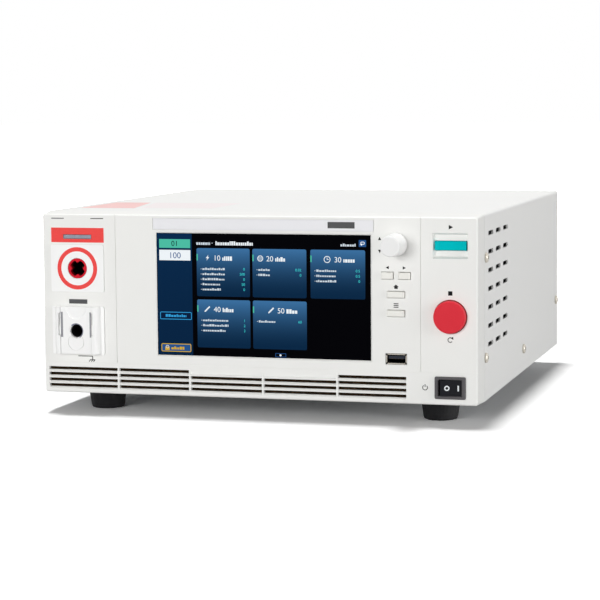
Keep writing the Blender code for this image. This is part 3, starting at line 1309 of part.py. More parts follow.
def power_switch_frame(material):
    back = FRONT - GAP
    front = FRONT - POWER_FLANGE_PROUD
    shape = bmesh.new()
    outline = rounded_centred(SWITCH_X, POWER_Z, POWER_FLANGE_WIDTH, POWER_FLANGE_HEIGHT, POWER_CORNER)
    inner = rounded_centred(SWITCH_X, POWER_Z, POWER_FLANGE_WIDTH - POWER_CORNER, POWER_FLANGE_HEIGHT - POWER_CORNER,
                            POWER_CORNER / 2)
    add_loft(shape, [at(inner, "Y", front), at(outline, "Y", front + POWER_CORNER / 2),
                     at(outline, "Y", back)])
    frame = make_object("power_switch_frame", shape, material)
    body = bmesh.new()
    outline = centred(SWITCH_X, POWER_Z, POWER_BODY_WIDTH, POWER_BODY_HEIGHT)
    add_prism(body, outline, "Y", (front + back) / 2, FRONT + POWER_BODY_DEPTH)
    fuse(frame, "power_body", body)
    pocket = bmesh.new()
    flare = POWER_MOUTH_FLARE
    add_loft(pocket, [at(centred(SWITCH_X, POWER_Z, POWER_MOUTH_WIDTH, POWER_MOUTH_HEIGHT, grow), "Y", y)
                      for grow, y in ((2 * flare, front - flare), (0.0, front + flare),
                                      (0.0, FRONT + POWER_POCKET_DEPTH))])
    cut(frame, "power_pocket", pocket)
    pin_holes = bmesh.new()
    outline = circle(SWITCH_X, FRONT + ROCKER_PIVOT_DEPTH, ROCKER_PIN_RADIUS + GAP, 16)
    reach = POWER_BODY_HEIGHT / 2 + PAST
    add_prism(pin_holes, outline, "Z", POWER_Z - reach, POWER_Z + reach)
    cut(frame, "power_pin_holes", pin_holes)


def power_rocker(material):
    """Rocker whose face is a shallow V, resting with its right half pressed."""
    pivot = Vector((SWITCH_X, FRONT + ROCKER_PIVOT_DEPTH))
    end_rise = ROCKER_CREST + ROCKER_HALF_WIDTH * math.tan(ROCKER_TILT)
    outline = [(-ROCKER_HALF_WIDTH, -end_rise), (0.0, -ROCKER_CREST), (ROCKER_HALF_WIDTH, -end_rise),
               (ROCKER_FOOT_HALF_WIDTH, ROCKER_BACK), (-ROCKER_FOOT_HALF_WIDTH, ROCKER_BACK)]
    turned = []
    for x, y in outline:
        turned.append((pivot.x + x * math.cos(ROCKER_TILT) - y * math.sin(ROCKER_TILT),
                       pivot.y + x * math.sin(ROCKER_TILT) + y * math.cos(ROCKER_TILT)))
    half_height = POWER_MOUTH_HEIGHT / 2 - GAP
    shape = bmesh.new()
    add_prism(shape, turned, "Z", POWER_Z - half_height, POWER_Z + half_height)
    rocker = make_object("power_rocker", shape, material, (pivot.x, pivot.y, POWER_Z))
    pin = bmesh.new()
    reach = POWER_BODY_HEIGHT / 2 - GAP
    profile = [(ROCKER_PIN_RADIUS, POWER_Z - reach), (ROCKER_PIN_RADIUS, POWER_Z + reach)]
    add_turned(pin, pivot.x, pivot.y, "Z", profile, 16)
    fuse(rocker, "rocker_pins", pin)


# Rear
def fan_frame(material):
    back = REAR_INNER - GAP
    front = back - FAN_THICKNESS
    shape = bmesh.new()
    add_prism(shape, rounded_centred(FAN_X, FAN_Z, FAN_SIZE, FAN_SIZE, FAN_CORNER), "Y", front, back)
    frame = make_object("fan_frame", shape, material)
    bore = bmesh.new()
    add_prism(bore, circle(FAN_X, FAN_Z, FAN_BORE_RADIUS, 40), "Y", front - PAST, back + PAST)
    cut(frame, "fan_bore", bore)
    mount_front = back - FAN_MOUNT_THICKNESS
    struts = bmesh.new()
    half = FAN_STRUT / 2
    reach = FAN_BORE_RADIUS + half
    add_box(struts, FAN_X - reach, FAN_X + reach, mount_front, back, FAN_Z - half, FAN_Z + half)
    fuse(frame, "fan_level_strut", struts)
    struts = bmesh.new()
    add_box(struts, FAN_X - half, FAN_X + half, mount_front, back, FAN_Z - reach, FAN_Z + reach)
    fuse(frame, "fan_upright_strut", struts)
    mount = bmesh.new()
    profile = [(FAN_HUB_RADIUS, mount_front - GAP), (FAN_HUB_RADIUS, back - GAP)]
    add_turned(mount, FAN_X, FAN_Z, "Y", profile, 24)
    fuse(frame, "fan_mount", mount)
    bearing = bmesh.new()
    outline = circle(FAN_X, FAN_Z, FAN_SHAFT_RADIUS + GAP, 16)
    add_prism(bearing, outline, "Y", mount_front - PAST, back + PAST)
    cut(frame, "fan_bearing", bearing)


def blade_section(radius, angle, pitch, middle, chord):
    """Four corners of one blade's section, turned by its pitch."""
    along = Vector((math.cos(angle), 0.0, math.sin(angle)))
    around = Vector((-math.sin(angle), 0.0, math.cos(angle)))
    centre = Vector((FAN_X, middle, FAN_Z)) + along * radius
    lean = around * math.cos(pitch) + Vector((0.0, math.sin(pitch), 0.0))
    flat = around * -math.sin(pitch) + Vector((0.0, math.cos(pitch), 0.0))
    half = FAN_BLADE_THICKNESS / 2
    return [centre + lean * u * chord / 2 + flat * v * half for u, v in ((-1, -1), (1, -1), (1, 1), (-1, 1))]


def fan_rotor(material):
    """Hub with swept, twisted blades and the shaft that runs in the frame."""
    hub_back = REAR_INNER - GAP - FAN_MOUNT_THICKNESS - 2 * GAP - RUNNING
    hub_front = hub_back - FAN_ROTOR_LENGTH
    middle = (hub_front + hub_back) / 2
    shape = bmesh.new()
    profile = [(FAN_HUB_RADIUS * 0.85, hub_front), (FAN_HUB_RADIUS, hub_front + FAN_HUB_EDGE),
               (FAN_HUB_RADIUS, hub_back),
               (FAN_SHAFT_RADIUS, hub_back), (FAN_SHAFT_RADIUS, hub_back + FAN_MOUNT_THICKNESS)]
    add_turned(shape, FAN_X, FAN_Z, "Y", profile, 28)
    rotor = make_object("fan_rotor", shape, material, (FAN_X, middle, FAN_Z))
    blades = bmesh.new()
    root = FAN_HUB_RADIUS * 0.9
    tip = FAN_BORE_RADIUS - FAN_TIP_PLAY
    sections = 4
    for blade in range(FAN_BLADES):
        rings = []
        for step in range(sections + 1):
            share = step / sections
            radius = root + share * (tip - root)
            angle = math.tau * blade / FAN_BLADES + math.radians(14) * share
            pitch = math.radians(48 - 20 * share)
            chord = FAN_ROOT_CHORD + share * (FAN_TIP_CHORD - FAN_ROOT_CHORD)
            rings.append(blade_section(radius, angle, pitch, middle, chord))
        add_loft(blades, rings)
    fuse(rotor, "fan_blades", blades)


def fan_guard(material):
    """Wire finger guard: four rings on crossed spokes."""
    middle = REAR_FACE + GAP + GUARD_WIRE
    shape = bmesh.new()
    reach = GUARD_REACH / math.sqrt(2)
    spoke = [(-GUARD_WIRE, middle - GUARD_WIRE), (GUARD_WIRE, middle - GUARD_WIRE),
             (GUARD_WIRE, middle + GUARD_WIRE), (-GUARD_WIRE, middle + GUARD_WIRE)]
    add_guard_spoke(shape, spoke, reach, 1)
    guard = make_object("fan_guard", shape, material)
    other = bmesh.new()
    add_guard_spoke(other, spoke, reach, -1)
    fuse(guard, "guard_spoke", other)
    rings = bmesh.new()
    for radius in GUARD_RINGS:
        profile = [(radius - GUARD_WIRE, middle), (radius, middle - GUARD_WIRE),
                   (radius + GUARD_WIRE, middle), (radius, middle + GUARD_WIRE)]
        add_turned(rings, FAN_X, FAN_Z, "Y", profile, 32, closed=True)
    fuse(guard, "guard_rings", rings)


def add_guard_spoke(shape, section, reach, slope):
    """A straight wire across the guard, from corner to corner."""
    rings = []
    for end in (-1, 1):
        x = FAN_X + end * reach
        z = FAN_Z + end * slope * reach
        rings.append([Vector((x + u * math.sqrt(0.5), y, z - slope * u * math.sqrt(0.5)))
                      for u, y in section])
    add_loft(shape, rings)


def ac_inlet(material):
    """Mains inlet: screw flange, housing, and three blades in its cavity."""
    seat = REAR_FACE + GAP
    shape = bmesh.new()
    flange = rounded_centred(INLET_X, REAR_ROW_Z, INLET_FLANGE_WIDTH, INLET_FLANGE_HEIGHT,
                             INLET_FLANGE_HEIGHT / 4)
    add_prism(shape, flange, "Y", seat, seat + INLET_FLANGE_THICKNESS)
    inlet = make_object("ac_inlet", shape, material)
    body = bmesh.new()
    outline = centred(INLET_X, REAR_ROW_Z, INLET_BODY_WIDTH, INLET_BODY_HEIGHT)
    add_prism(body, outline, "Y", seat - INLET_BODY_DEPTH, seat + INLET_FLANGE_THICKNESS / 2)
    fuse(inlet, "inlet_body", body)
    mouth = bmesh.new()
    outline = centred(INLET_X, REAR_ROW_Z, INLET_MOUTH_WIDTH, INLET_MOUTH_HEIGHT)
    floor = seat + INLET_FLANGE_THICKNESS - INLET_MOUTH_DEPTH
    add_prism(mouth, outline, "Y", floor, seat + INLET_FLANGE_THICKNESS + PAST)
    cut(inlet, "inlet_mouth", mouth)
    pins = bmesh.new()
    for place, step in ((-1, -1), (0, 1), (1, -1)):
        outline = centred(INLET_X + place * INLET_PIN_PITCH, REAR_ROW_Z + step * INLET_PIN_STEP,
                          INLET_PIN_WIDTH, INLET_PIN_HEIGHT)
        add_prism(pins, outline, "Y", floor - PAST, floor + INLET_PIN_LENGTH)
    fuse(inlet, "inlet_pins", pins)


def ground_terminal(material):
    seat = REAR_FACE + GAP
    shape = bmesh.new()
    nut = [(GROUND_NUT_RADIUS, seat), (GROUND_NUT_RADIUS, seat + GROUND_NUT_HEIGHT)]
    add_turned(shape, GROUND_X, REAR_ROW_Z, "Y", nut, 6)
    terminal = make_object("ground_terminal", shape, material)
    stud = bmesh.new()
    profile = [(GROUND_STUD_RADIUS, seat - GROUND_STUD_TAIL),
               (GROUND_STUD_RADIUS, REAR_FACE + GROUND_STUD_REACH - GROUND_STUD_RADIUS / 3),
               (GROUND_STUD_RADIUS * 0.7, REAR_FACE + GROUND_STUD_REACH)]
    add_turned(stud, GROUND_X, REAR_ROW_Z, "Y", profile, 20)
    fuse(terminal, "ground_stud", stud)


def dsub_outline(x, width, grow=0.0):
    """The slanted outline that lets the plug go in one way only."""
    half = width / 2 + grow
    slant = DSUB_SHELL_HEIGHT * math.tan(math.radians(10))
    high = DSUB_SHELL_HEIGHT / 2 + grow
    return [(x - half + slant, REAR_ROW_Z - high), (x + half - slant, REAR_ROW_Z - high),
            (x + half, REAR_ROW_Z + high), (x - half, REAR_ROW_Z + high)]


def dsub_connector(name, x, width, material):
    """Flange on the panel, slanted shell outside and body inside."""
    seat = REAR_FACE + GAP
    shape = bmesh.new()
    outline = rounded_centred(x, REAR_ROW_Z, width + 2 * DSUB_EAR, DSUB_HEIGHT, PLATE_CORNER, 2)
    add_prism(shape, outline, "Y", seat, seat + DSUB_PLATE)
    connector = make_object(name, shape, material)
    shell = bmesh.new()
    add_prism(shell, dsub_outline(x, width), "Y", REAR_INNER - DSUB_BODY_DEPTH, seat + DSUB_PROUD)
    fuse(connector, name + "_shell", shell)
    screws = bmesh.new()
    for side in (-1, 1):
        post = [(PLATE_CORNER * 2.4, seat + DSUB_PLATE / 2), (PLATE_CORNER * 2.4, seat + DSUB_PROUD * 0.8)]
        add_turned(screws, x + side * (width + DSUB_EAR) / 2, REAR_ROW_Z, "Y", post, 6)
    fuse(connector, name + "_posts", screws)


def lan_port(material):
    shape = bmesh.new()
    end = REAR_FACE + PORT_PROUD
    add_prism(shape, centred(LAN_X, REAR_ROW_Z, LAN_WIDTH, LAN_HEIGHT), "Y", end - LAN_DEPTH, end)
    port = make_object("lan_port", shape, material)
    mouth = bmesh.new()
    outline = centred(LAN_X, REAR_ROW_Z, LAN_MOUTH_WIDTH, LAN_MOUTH_HEIGHT)
    add_prism(mouth, outline, "Y", end - LAN_MOUTH_DEPTH, end + PAST)
    cut(port, "lan_mouth", mouth)


def usb_device_port(material):
    shape = bmesh.new()
    end = REAR_FACE + PORT_PROUD
    outline = centred(USB_DEVICE_X, REAR_ROW_Z, USB_DEVICE_WIDTH, USB_DEVICE_HEIGHT)
    add_prism(shape, outline, "Y", end - USB_DEVICE_DEPTH, end)
    port = make_object("usb_device_port", shape, material)
    mouth = bmesh.new()
    outline = octagon(USB_DEVICE_X, REAR_ROW_Z, USB_DEVICE_MOUTH_WIDTH, USB_DEVICE_MOUTH_HEIGHT, PLATE_CORNER)
    add_prism(mouth, outline, "Y", end - USB_DEVICE_MOUTH_DEPTH, end + PAST)
    cut(port, "usb_device_mouth", mouth)
    tongue = bmesh.new()
    outline = centred(USB_DEVICE_X, REAR_ROW_Z, USB_DEVICE_TONGUE_WIDTH, USB_DEVICE_TONGUE_HEIGHT)
    add_prism(tongue, outline, "Y", end - USB_DEVICE_MOUTH_DEPTH - PAST, end - PAST)
    fuse(port, "usb_device_tongue", tongue)


# Inner units
def level_boards(material):
    """Boards over the chassis floor, with their tallest parts."""
    extents = board_extents()
    parts = {
        "power_board": ((0.25, 0.20, 3.0, 2.4, 3.2), (0.70, 0.20, 1.8, 1.8, 3.6), (0.70, 0.42, 1.8, 1.8, 3.6),
                        (0.28, 0.55, 3.4, 4.0, 2.2), (0.30, 0.85, 4.0, 2.2, 1.4)),
        "interface_board": ((0.50, 0.22, 3.0, 1.2, 0.6),),
    }
    for name, (x_range, y_range) in extents.items():
        shape = bmesh.new()
        add_box(shape, *x_range, *y_range, BOARD_Z, BOARD_Z + BOARD_THICKNESS)
        board = make_object(name, shape, material)
        tall = bmesh.new()
        for x, y, width, length, height in parts[name]:
            centre = (x_range[0] + x * (x_range[1] - x_range[0]), y_range[0] + y * (y_range[1] - y_range[0]))
            outline = centred(*centre, width * BOARD_PART, length * BOARD_PART)
            add_prism(tall, outline, "Z", BOARD_Z + BOARD_THICKNESS / 2,
                      BOARD_Z + BOARD_THICKNESS + height * BOARD_PART)
        fuse(board, name + "_parts", tall)


def transformer(iron, copper):
    """High-voltage transformer: stacked core with two windows, and the winding on its middle leg."""
    front = FRONT + CORE_FRONT
    back = front + CORE_LENGTH
    low = CHASSIS_TOP + GAP
    high = low + CORE_HEIGHT
    shape = bmesh.new()
    half = CORE_WIDTH / 2
    add_box(shape, CORE_X - half, CORE_X + half, front, back, low, high)
    core = make_object("transformer_core", shape, iron)
    windows = bmesh.new()
    for side in (-1, 1):
        inner = CORE_X + side * CORE_LEG / 2
        outer = CORE_X + side * (half - CORE_YOKE)
        add_box(windows, min(inner, outer), max(inner, outer), front - PAST, back + PAST,
                low + CORE_YOKE, high - CORE_YOKE)
    cut(core, "core_windows", windows)
    shape = bmesh.new()
    window_half = half - CORE_YOKE - GAP
    outline = rounded(CORE_X - window_half, CORE_X + window_half, front - WINDING_SWELL, back + WINDING_SWELL,
                      WINDING_SWELL * 0.8)
    z0 = low + CORE_YOKE + GAP
    z1 = high - CORE_YOKE - GAP
    add_prism(shape, outline, "Z", z0, z1)
    winding = make_object("transformer_winding", shape, copper)
    hole = bmesh.new()
    leg = CORE_LEG / 2 + GAP
    add_box(hole, CORE_X - leg, CORE_X + leg, front - GAP, back + GAP, z0 - PAST, z1 + PAST)
    cut(winding, "winding_hole", hole)


def heat_sink(material):
    """Finned block in the fan's air stream."""
    low = CHASSIS_TOP + GAP
    left = SINK_X - SINK_WIDTH / 2
    right = SINK_X + SINK_WIDTH / 2
    pitch = (SINK_WIDTH - SINK_FIN) / (SINK_FINS - 1)
    outline = [(right, low), (left, low)]
    for fin in range(SINK_FINS):
        start = left + fin * pitch
        end = start + SINK_FIN
        outline += [(start, low + SINK_HEIGHT), (end, low + SINK_HEIGHT)]
        if fin < SINK_FINS - 1:
            outline += [(end, low + SINK_BASE), (start + pitch, low + SINK_BASE)]
    shape = bmesh.new()
    end = BACK - SINK_BACK
    add_prism(shape, outline, "Y", end - SINK_LENGTH, end)
    make_object("heat_sink", shape, material)


def main():
    clear_scene()
    moulding = make_material("off_white_moulding", (0.83, 0.83, 0.82), 0.45)
    sheet = make_material("off_white_paint", (0.80, 0.80, 0.79), 0.50)
    zinc = make_material("zinc_sheet", (0.62, 0.63, 0.64), 0.40, 1.0)
    nickel = make_material("nickel", (0.72, 0.70, 0.66), 0.28, 1.0)
    brass = make_material("gold_contact", (0.75, 0.58, 0.30), 0.30, 1.0)
    rubber = make_material("black_rubber", (0.03, 0.03, 0.03), 0.80)
    black = make_material("black_plastic", (0.05, 0.05, 0.055), 0.45)
    glass = make_material("screen_glass", (0.01, 0.01, 0.015), 0.08)
    lens = make_material("lamp_lens", (0.35, 0.36, 0.38), 0.30)
    red_socket = make_material("red_socket", (0.76, 0.03, 0.08), 0.40)
    red_button = make_material("red_button", (0.70, 0.04, 0.06), 0.35)
    teal = make_material("teal_button", (0.00, 0.45, 0.49), 0.35)
    board = make_material("circuit_board", (0.03, 0.20, 0.09), 0.50)
    iron = make_material("core_steel", (0.25, 0.25, 0.26), 0.50, 1.0)
    copper = make_material("wound_coil", (0.50, 0.30, 0.10), 0.50)
    aluminium = make_material("aluminium", (0.70, 0.71, 0.72), 0.40, 1.0)

    front_bezel(moulding)
    top_cover(sheet)
    bottom_chassis(zinc)
    rear_panel(sheet)
    feet(rubber, nickel)
    cover_screws(nickel)
    name_strip(moulding)
    touch_panel(glass)
    lcd_module(zinc)
    lcd_bracket(zinc)
    control_board(board)
    lamp_lens(lens)
    hv_terminal(moulding, red_socket, brass)
    low_terminal_block(moulding)
    low_socket(black)
    low_lock_slider(moulding)
    jog_knob(moulding)
    rotary_encoder(nickel)
    keys(moulding)
    key_board(board)
    usb_host_port(nickel)
    start_button(teal)
    stop_button(red_button)
    panel_switches(black)
    power_switch_frame(black)
    power_rocker(black)
    fan_frame(black)
    fan_rotor(black)
    fan_guard(nickel)
    ac_inlet(black)
    ground_terminal(nickel)
    dsub_connector("signal_connector", SIGNAL_X, SIGNAL_SHELL_WIDTH, nickel)
    dsub_connector("serial_connector", SERIAL_X, SERIAL_SHELL_WIDTH, nickel)
    lan_port(nickel)
    usb_device_port(nickel)
    level_boards(board)
    transformer(iron, copper)
    heat_sink(aluminium)


main()
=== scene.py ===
import json
import math
import random

import bmesh
import bpy
from mathutils import Matrix, Vector


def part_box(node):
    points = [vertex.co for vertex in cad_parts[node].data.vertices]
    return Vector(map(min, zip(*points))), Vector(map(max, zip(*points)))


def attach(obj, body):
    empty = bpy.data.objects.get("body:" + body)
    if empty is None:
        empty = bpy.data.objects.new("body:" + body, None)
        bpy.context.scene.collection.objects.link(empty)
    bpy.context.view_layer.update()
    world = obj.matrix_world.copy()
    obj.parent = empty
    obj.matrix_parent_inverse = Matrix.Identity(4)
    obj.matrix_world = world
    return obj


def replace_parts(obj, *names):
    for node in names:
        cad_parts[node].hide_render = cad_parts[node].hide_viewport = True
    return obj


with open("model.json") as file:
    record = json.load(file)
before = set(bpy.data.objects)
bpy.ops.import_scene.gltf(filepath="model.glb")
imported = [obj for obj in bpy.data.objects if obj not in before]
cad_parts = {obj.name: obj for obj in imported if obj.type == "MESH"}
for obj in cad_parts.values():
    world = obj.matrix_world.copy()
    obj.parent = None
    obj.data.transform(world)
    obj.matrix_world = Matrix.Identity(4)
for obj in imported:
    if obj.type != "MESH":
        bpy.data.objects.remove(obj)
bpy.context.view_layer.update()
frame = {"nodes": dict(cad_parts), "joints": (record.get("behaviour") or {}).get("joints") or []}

MM = 0.001
QUARTER = math.pi / 2

# Where the case lies
bezel_low, bezel_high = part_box("front_bezel")
cover_low, cover_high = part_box("top_cover")
FRONT = bezel_low.y
BASE = bezel_low.z
TOP = bezel_high.z
LEFT = bezel_low.x
RIGHT = bezel_high.x


def middle(node):
    low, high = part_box(node)
    return (low + high) / 2


# Colours
def srgb(red, green, blue):
    """Screen values from 0 to 255 as linear light."""
    shares = [value / 255 for value in (red, green, blue)]
    return [share / 12.92 if share <= 0.04045 else ((share + 0.055) / 1.055) ** 2.4 for share in shares]


def shade(colour, share):
    return [value * share for value in colour]


# Node trees
class Wire:
    """The output of a node; the operators add Math nodes to its tree."""

    def __init__(self, graph, socket):
        self.graph = graph
        self.socket = socket

    def maths(self, operation, first, second):
        return self.graph.node("ShaderNodeMath", {0: first, 1: second}, operation=operation)

    def __add__(self, other):
        return self.maths("ADD", self, other)

    def __sub__(self, other):
        return self.maths("SUBTRACT", self, other)

    def __rsub__(self, other):
        return self.maths("SUBTRACT", other, self)

    def __mul__(self, other):
        return self.maths("MULTIPLY", self, other)

    def __truediv__(self, other):
        return self.maths("DIVIDE", self, other)

    def __gt__(self, other):
        return self.maths("GREATER_THAN", self, other)


class Graph:
    """A node tree that grows one node at a time."""

    def __init__(self, tree):
        self.tree = tree

    def feed(self, socket, value):
        if isinstance(value, Wire):
            self.tree.links.new(value.socket, socket)
        elif socket.type == "RGBA":
            socket.default_value = (*value, 1.0)
        else:
            socket.default_value = value

    def node(self, kind, values=(), output=0, **settings):
        """Add a node and give back one of its outputs."""
        made = self.tree.nodes.new(kind)
        for key, value in settings.items():
            setattr(made, key, value)
        for key, value in dict(values).items():
            self.feed(made.inputs[key], value)
        return Wire(self, made.outputs[output])


class Finish(Graph):
    """One material, with the nodes that its surface needs."""

    def __init__(self, name, shine=0.5, metallic=0.0):
        self.material = bpy.data.materials.new(name)
        self.material.use_nodes = True
        super().__init__(self.material.node_tree)
        self.shader = self.tree.nodes["Principled BSDF"]
        self.set({"Specular IOR Level": shine, "Metallic": metallic})

    def set(self, values):
        for key, value in values.items():
            self.feed(self.shader.inputs[key], value)

    def coat(self, colour, roughness, relief, depth):
        """Give the surface its colour, its roughness and its relief."""
        normal = self.node("ShaderNodeBump", {"Height": relief, "Distance": depth})
        self.set({"Base Color": colour, "Roughness": roughness, "Normal": normal})
        return self.material

    def place(self):
        return self.node("ShaderNodeTexCoord", output="Object")

    def part(self, axis):
        """One coordinate of the place on the object."""
        return self.node("ShaderNodeSeparateXYZ", {0: self.place()}, axis)

    def noise(self, scale, detail, stretch=None):
        """Noise, which may be squeezed or drawn out along each axis."""
        place = self.place()
        if stretch:
            place = self.node("ShaderNodeMapping", {"Vector": place, "Scale": stretch})
        return self.node("ShaderNodeTexNoise", {"Vector": place, "Scale": scale, "Detail": detail})

    def bands(self, direction, scale, distortion=0.0):
        values = {"Vector": self.place(), "Scale": scale, "Distortion": distortion}
        return self.node("ShaderNodeTexWave", values, bands_direction=direction)

    def cells(self, scale, **settings):
        return self.node("ShaderNodeTexVoronoi", {"Vector": self.place(), "Scale": scale}, **settings)

    def mix(self, factor, first, second):
        return self.node("ShaderNodeMix", {0: factor, 6: first, 7: second}, 2, data_type="RGBA")


def moulded(name, colour, roughness, grain=0.02 * MM, spread=0.02, shine=0.5):
    """Plastic from a spark-eroded mould: fine grain and a hardly seen drift of tone."""
    finish = Finish(name, shine)
    fine = finish.noise(2600, 3)
    drift = finish.noise(14, 2)
    tone = finish.mix(drift, shade(colour, 1 - spread), shade(colour, 1 + spread))
    return finish.coat(tone, fine * 0.12 + drift * 0.04 + (roughness - 0.08), fine, grain)


def moulded_with_bore_shade(name, colour, bore_shade_colour, front):
    """A moulding whose bore darkens with depth: painted shade, from the colour near the front to a
    near-black shade colour deep in the bore.
    """
    finish = Finish(name, 0.12)
    depth = (finish.part("Y") - (front + 0.8 * MM)) / (5.5 * MM)
    grain = finish.noise(2600, 3)
    share = finish.node("ShaderNodeClamp", {"Value": depth + grain * 0.1})
    return finish.coat(finish.mix(share, colour, bore_shade_colour), grain * 0.12 + 0.30, grain, 0.01 * MM)


def powder_coat(name, colour):
    """Sprayed and baked paint, with the skin of an orange."""
    finish = Finish(name)
    peel = finish.noise(700, 2)
    grain = finish.noise(3200, 2)
    tone = finish.mix(finish.noise(9, 2), shade(colour, 0.985), shade(colour, 1.015))
    return finish.coat(tone, peel * 0.10 + grain * 0.06 + 0.40, peel * 0.7 + grain * 0.3, 0.03 * MM)


def metal(name, colour, roughness, stretch=(1, 1, 1)):
    """Plated or drawn metal, with fine lines along its grain."""
    finish = Finish(name, metallic=1.0)
    lines = finish.noise(900, 4, stretch)
    stain = finish.noise(60, 3)
    tone = finish.mix(stain, shade(colour, 0.88), colour)
    return finish.coat(tone, lines * 0.16 + stain * 0.06 + (roughness - 0.10), lines, 0.008 * MM)


def vulcanised(name, colour):
    """Rubber with a dusty bloom."""
    finish = Finish(name)
    bloom = finish.noise(120, 4)
    grain = finish.noise(1800, 3)
    tone = finish.mix(bloom, colour, shade(colour, 1.9))
    return finish.coat(tone, grain * 0.15 + bloom * 0.10 + 0.55, grain, 0.03 * MM)


def ink(name, colour):
    """Screen-printed ink, a little uneven."""
    finish = Finish(name, 0.15)
    mottle = finish.noise(1500, 3)
    tone = finish.mix(mottle, shade(colour, 0.9), shade(colour, 1.1))
    return finish.coat(tone, mottle * 0.15 + 0.38, mottle, 0.005 * MM)


SCREEN_SHINE = 0.01     # what the anti-glare coat leaves of the reflection


def touch_glass(name):
    """Dark touch panel with an anti-glare coat and a trace of finger marks."""
    finish = Finish(name, SCREEN_SHINE)
    smears = finish.noise(45, 4)
    dust = finish.noise(2400, 2)
    tone = finish.mix(smears, (0.0008, 0.0006, 0.0008), (0.0016, 0.0012, 0.0016))
    return finish.coat(tone, smears * 0.10 + dust * 0.04 + 0.14, dust, 0.001 * MM)


def lit_pixels(name, colour, low_colour=None):
    """Light from the display, cut by its dot grid; it may fade down to a second colour."""
    finish = Finish(name, SCREEN_SHINE)
    grid = finish.bands("X", 900) * 0.05 + finish.bands("Z", 900) * 0.05 + 0.90
    light = colour
    if low_colour:
        rise = finish.node("ShaderNodeAttribute", output="Fac", attribute_name="fade")
        light = finish.mix(rise * rise, low_colour, colour)
    finish.set({
        "Base Color": shade(colour, 0.05),
        "Emission Color": finish.mix(grid, (0.0, 0.0, 0.0), light),
        "Emission Strength": 1.0,
        "Roughness": finish.noise(45, 4) * 0.10 + 0.16,
    })
    return finish.material


def circuit_board(name):
    """Solder resist over copper tracks."""
    finish = Finish(name)
    cells = finish.cells(220, distance="MANHATTAN", feature="F1")
    copper = (finish.bands("X", 160, 6.0) * 0.6 + cells * 0.4) > 0.55
    tone = finish.mix(copper, srgb(18, 78, 44), srgb(30, 104, 60))
    return finish.coat(tone, copper * 0.08 + 0.32, copper, 0.03 * MM)


def banded(name, first, second, axis, pitch, roughness, metallic=0.0):
    """Layers across one axis: turns of tape, or stacked sheets."""
    finish = Finish(name, metallic=metallic)
    place = finish.part(axis) * (math.tau / pitch)
    layer = finish.node("ShaderNodeMath", {0: place}, operation="SINE") * 0.5 + 0.5
    rub = finish.noise(400, 3)
    tone = finish.mix(layer * 0.7 + rub * 0.3, first, second)
    return finish.coat(tone, rub * 0.2 + (roughness - 0.1), layer + rub * 0.2, 0.06 * MM)


def filter_foam(name):
    """Open-celled dust filter: near black, with threads that catch the light."""
    finish = Finish(name, 0.04)
    threads = 1 - (finish.cells(900, feature="DISTANCE_TO_EDGE") > 0.09)
    tone = finish.mix(threads, srgb(8, 5, 3), srgb(64, 49, 33))
    return finish.coat(tone, threads * 0.1 + 0.75, threads, 0.2 * MM)


def smoked_lens(name):
    """Ribbed lens of an unlit lamp."""
    finish = Finish(name)
    ribs = finish.bands("X", 420)
    tone = finish.mix(finish.noise(260, 2), srgb(118, 126, 140), srgb(158, 165, 178))
    return finish.coat(tone, ribs * 0.1 + 0.22, ribs, 0.02 * MM)


moulding = moulded("white_moulding", srgb(240, 240, 237), 0.46)
key_moulding = moulded("key_moulding", srgb(240, 239, 233), 0.42)
knob_moulding = moulded("knob_moulding", srgb(240, 240, 239), 0.40, 0.01 * MM)
terminal_moulding = moulded("terminal_moulding", srgb(249, 249, 248), 0.36, 0.01 * MM)
strip_film = moulded("strip_film", srgb(236, 236, 239), 0.34, 0.006 * MM, 0.01, 0.4)
cover_paint = powder_coat("cover_paint", srgb(238, 238, 236))
rubber = vulcanised("foot_rubber", srgb(9, 9, 11))
switch_black = moulded("switch_black", srgb(90, 88, 90), 0.42, 0.02 * MM, 0.06, 0.2)
rocker_black = moulded("rocker_black", srgb(28, 28, 32), 0.36, 0.01 * MM, 0.05, 0.1)
fan_black = moulded("fan_black", srgb(32, 32, 34), 0.45, 0.03 * MM, 0.08, 0.3)
stop_red = moulded("stop_red", srgb(219, 48, 61), 0.36, 0.006 * MM, 0.03, 0.2)
start_teal = moulded("start_teal", srgb(0, 190, 196), 0.40, 0.006 * MM, 0.03, 0.04)
# The red bore fades into near-black with depth: painted shade deep in the socket.
socket_red = moulded_with_bore_shade("socket_red", srgb(214, 30, 48), srgb(16, 3, 4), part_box("hv_socket")[0].y)
nickel = metal("nickel_plate", srgb(212, 206, 194), 0.28)
zinc = metal("zinc_plate", srgb(186, 190, 192), 0.38, (1, 6, 1))
gold = metal("gold_plate", srgb(222, 184, 108), 0.26)
# Contact darkened to paint the shade deep in the high-voltage socket.
worn_contact = metal("worn_contact", srgb(84, 66, 50), 0.62)
aluminium = metal("drawn_aluminium", srgb(200, 203, 206), 0.36, (8, 0.5, 8))
display_can = metal("display_can", srgb(170, 172, 176), 0.42, (6, 1, 1))
glass = touch_glass("touch_glass")
board = circuit_board("solder_resist")
core = banded("stacked_core", srgb(70, 72, 76), srgb(120, 122, 126), "Y", 0.7 * MM, 0.45, 0.9)
coil = banded("taped_coil", srgb(196, 120, 30), srgb(226, 158, 60), "Z", 5.0 * MM, 0.38)
foam = filter_foam("filter_foam")
lens = smoked_lens("smoked_lens")
black_ink = ink("black_ink", srgb(14, 14, 15))
red_ink = ink("red_ink", srgb(240, 79, 76))
white_ink = ink("white_ink", srgb(236, 240, 242))
tag_ink = ink("tag_ink", srgb(86, 86, 88))
# Grey of the painted shade in the slider's side slots.
inlay_grey = ink("inlay_grey", srgb(150, 150, 155))
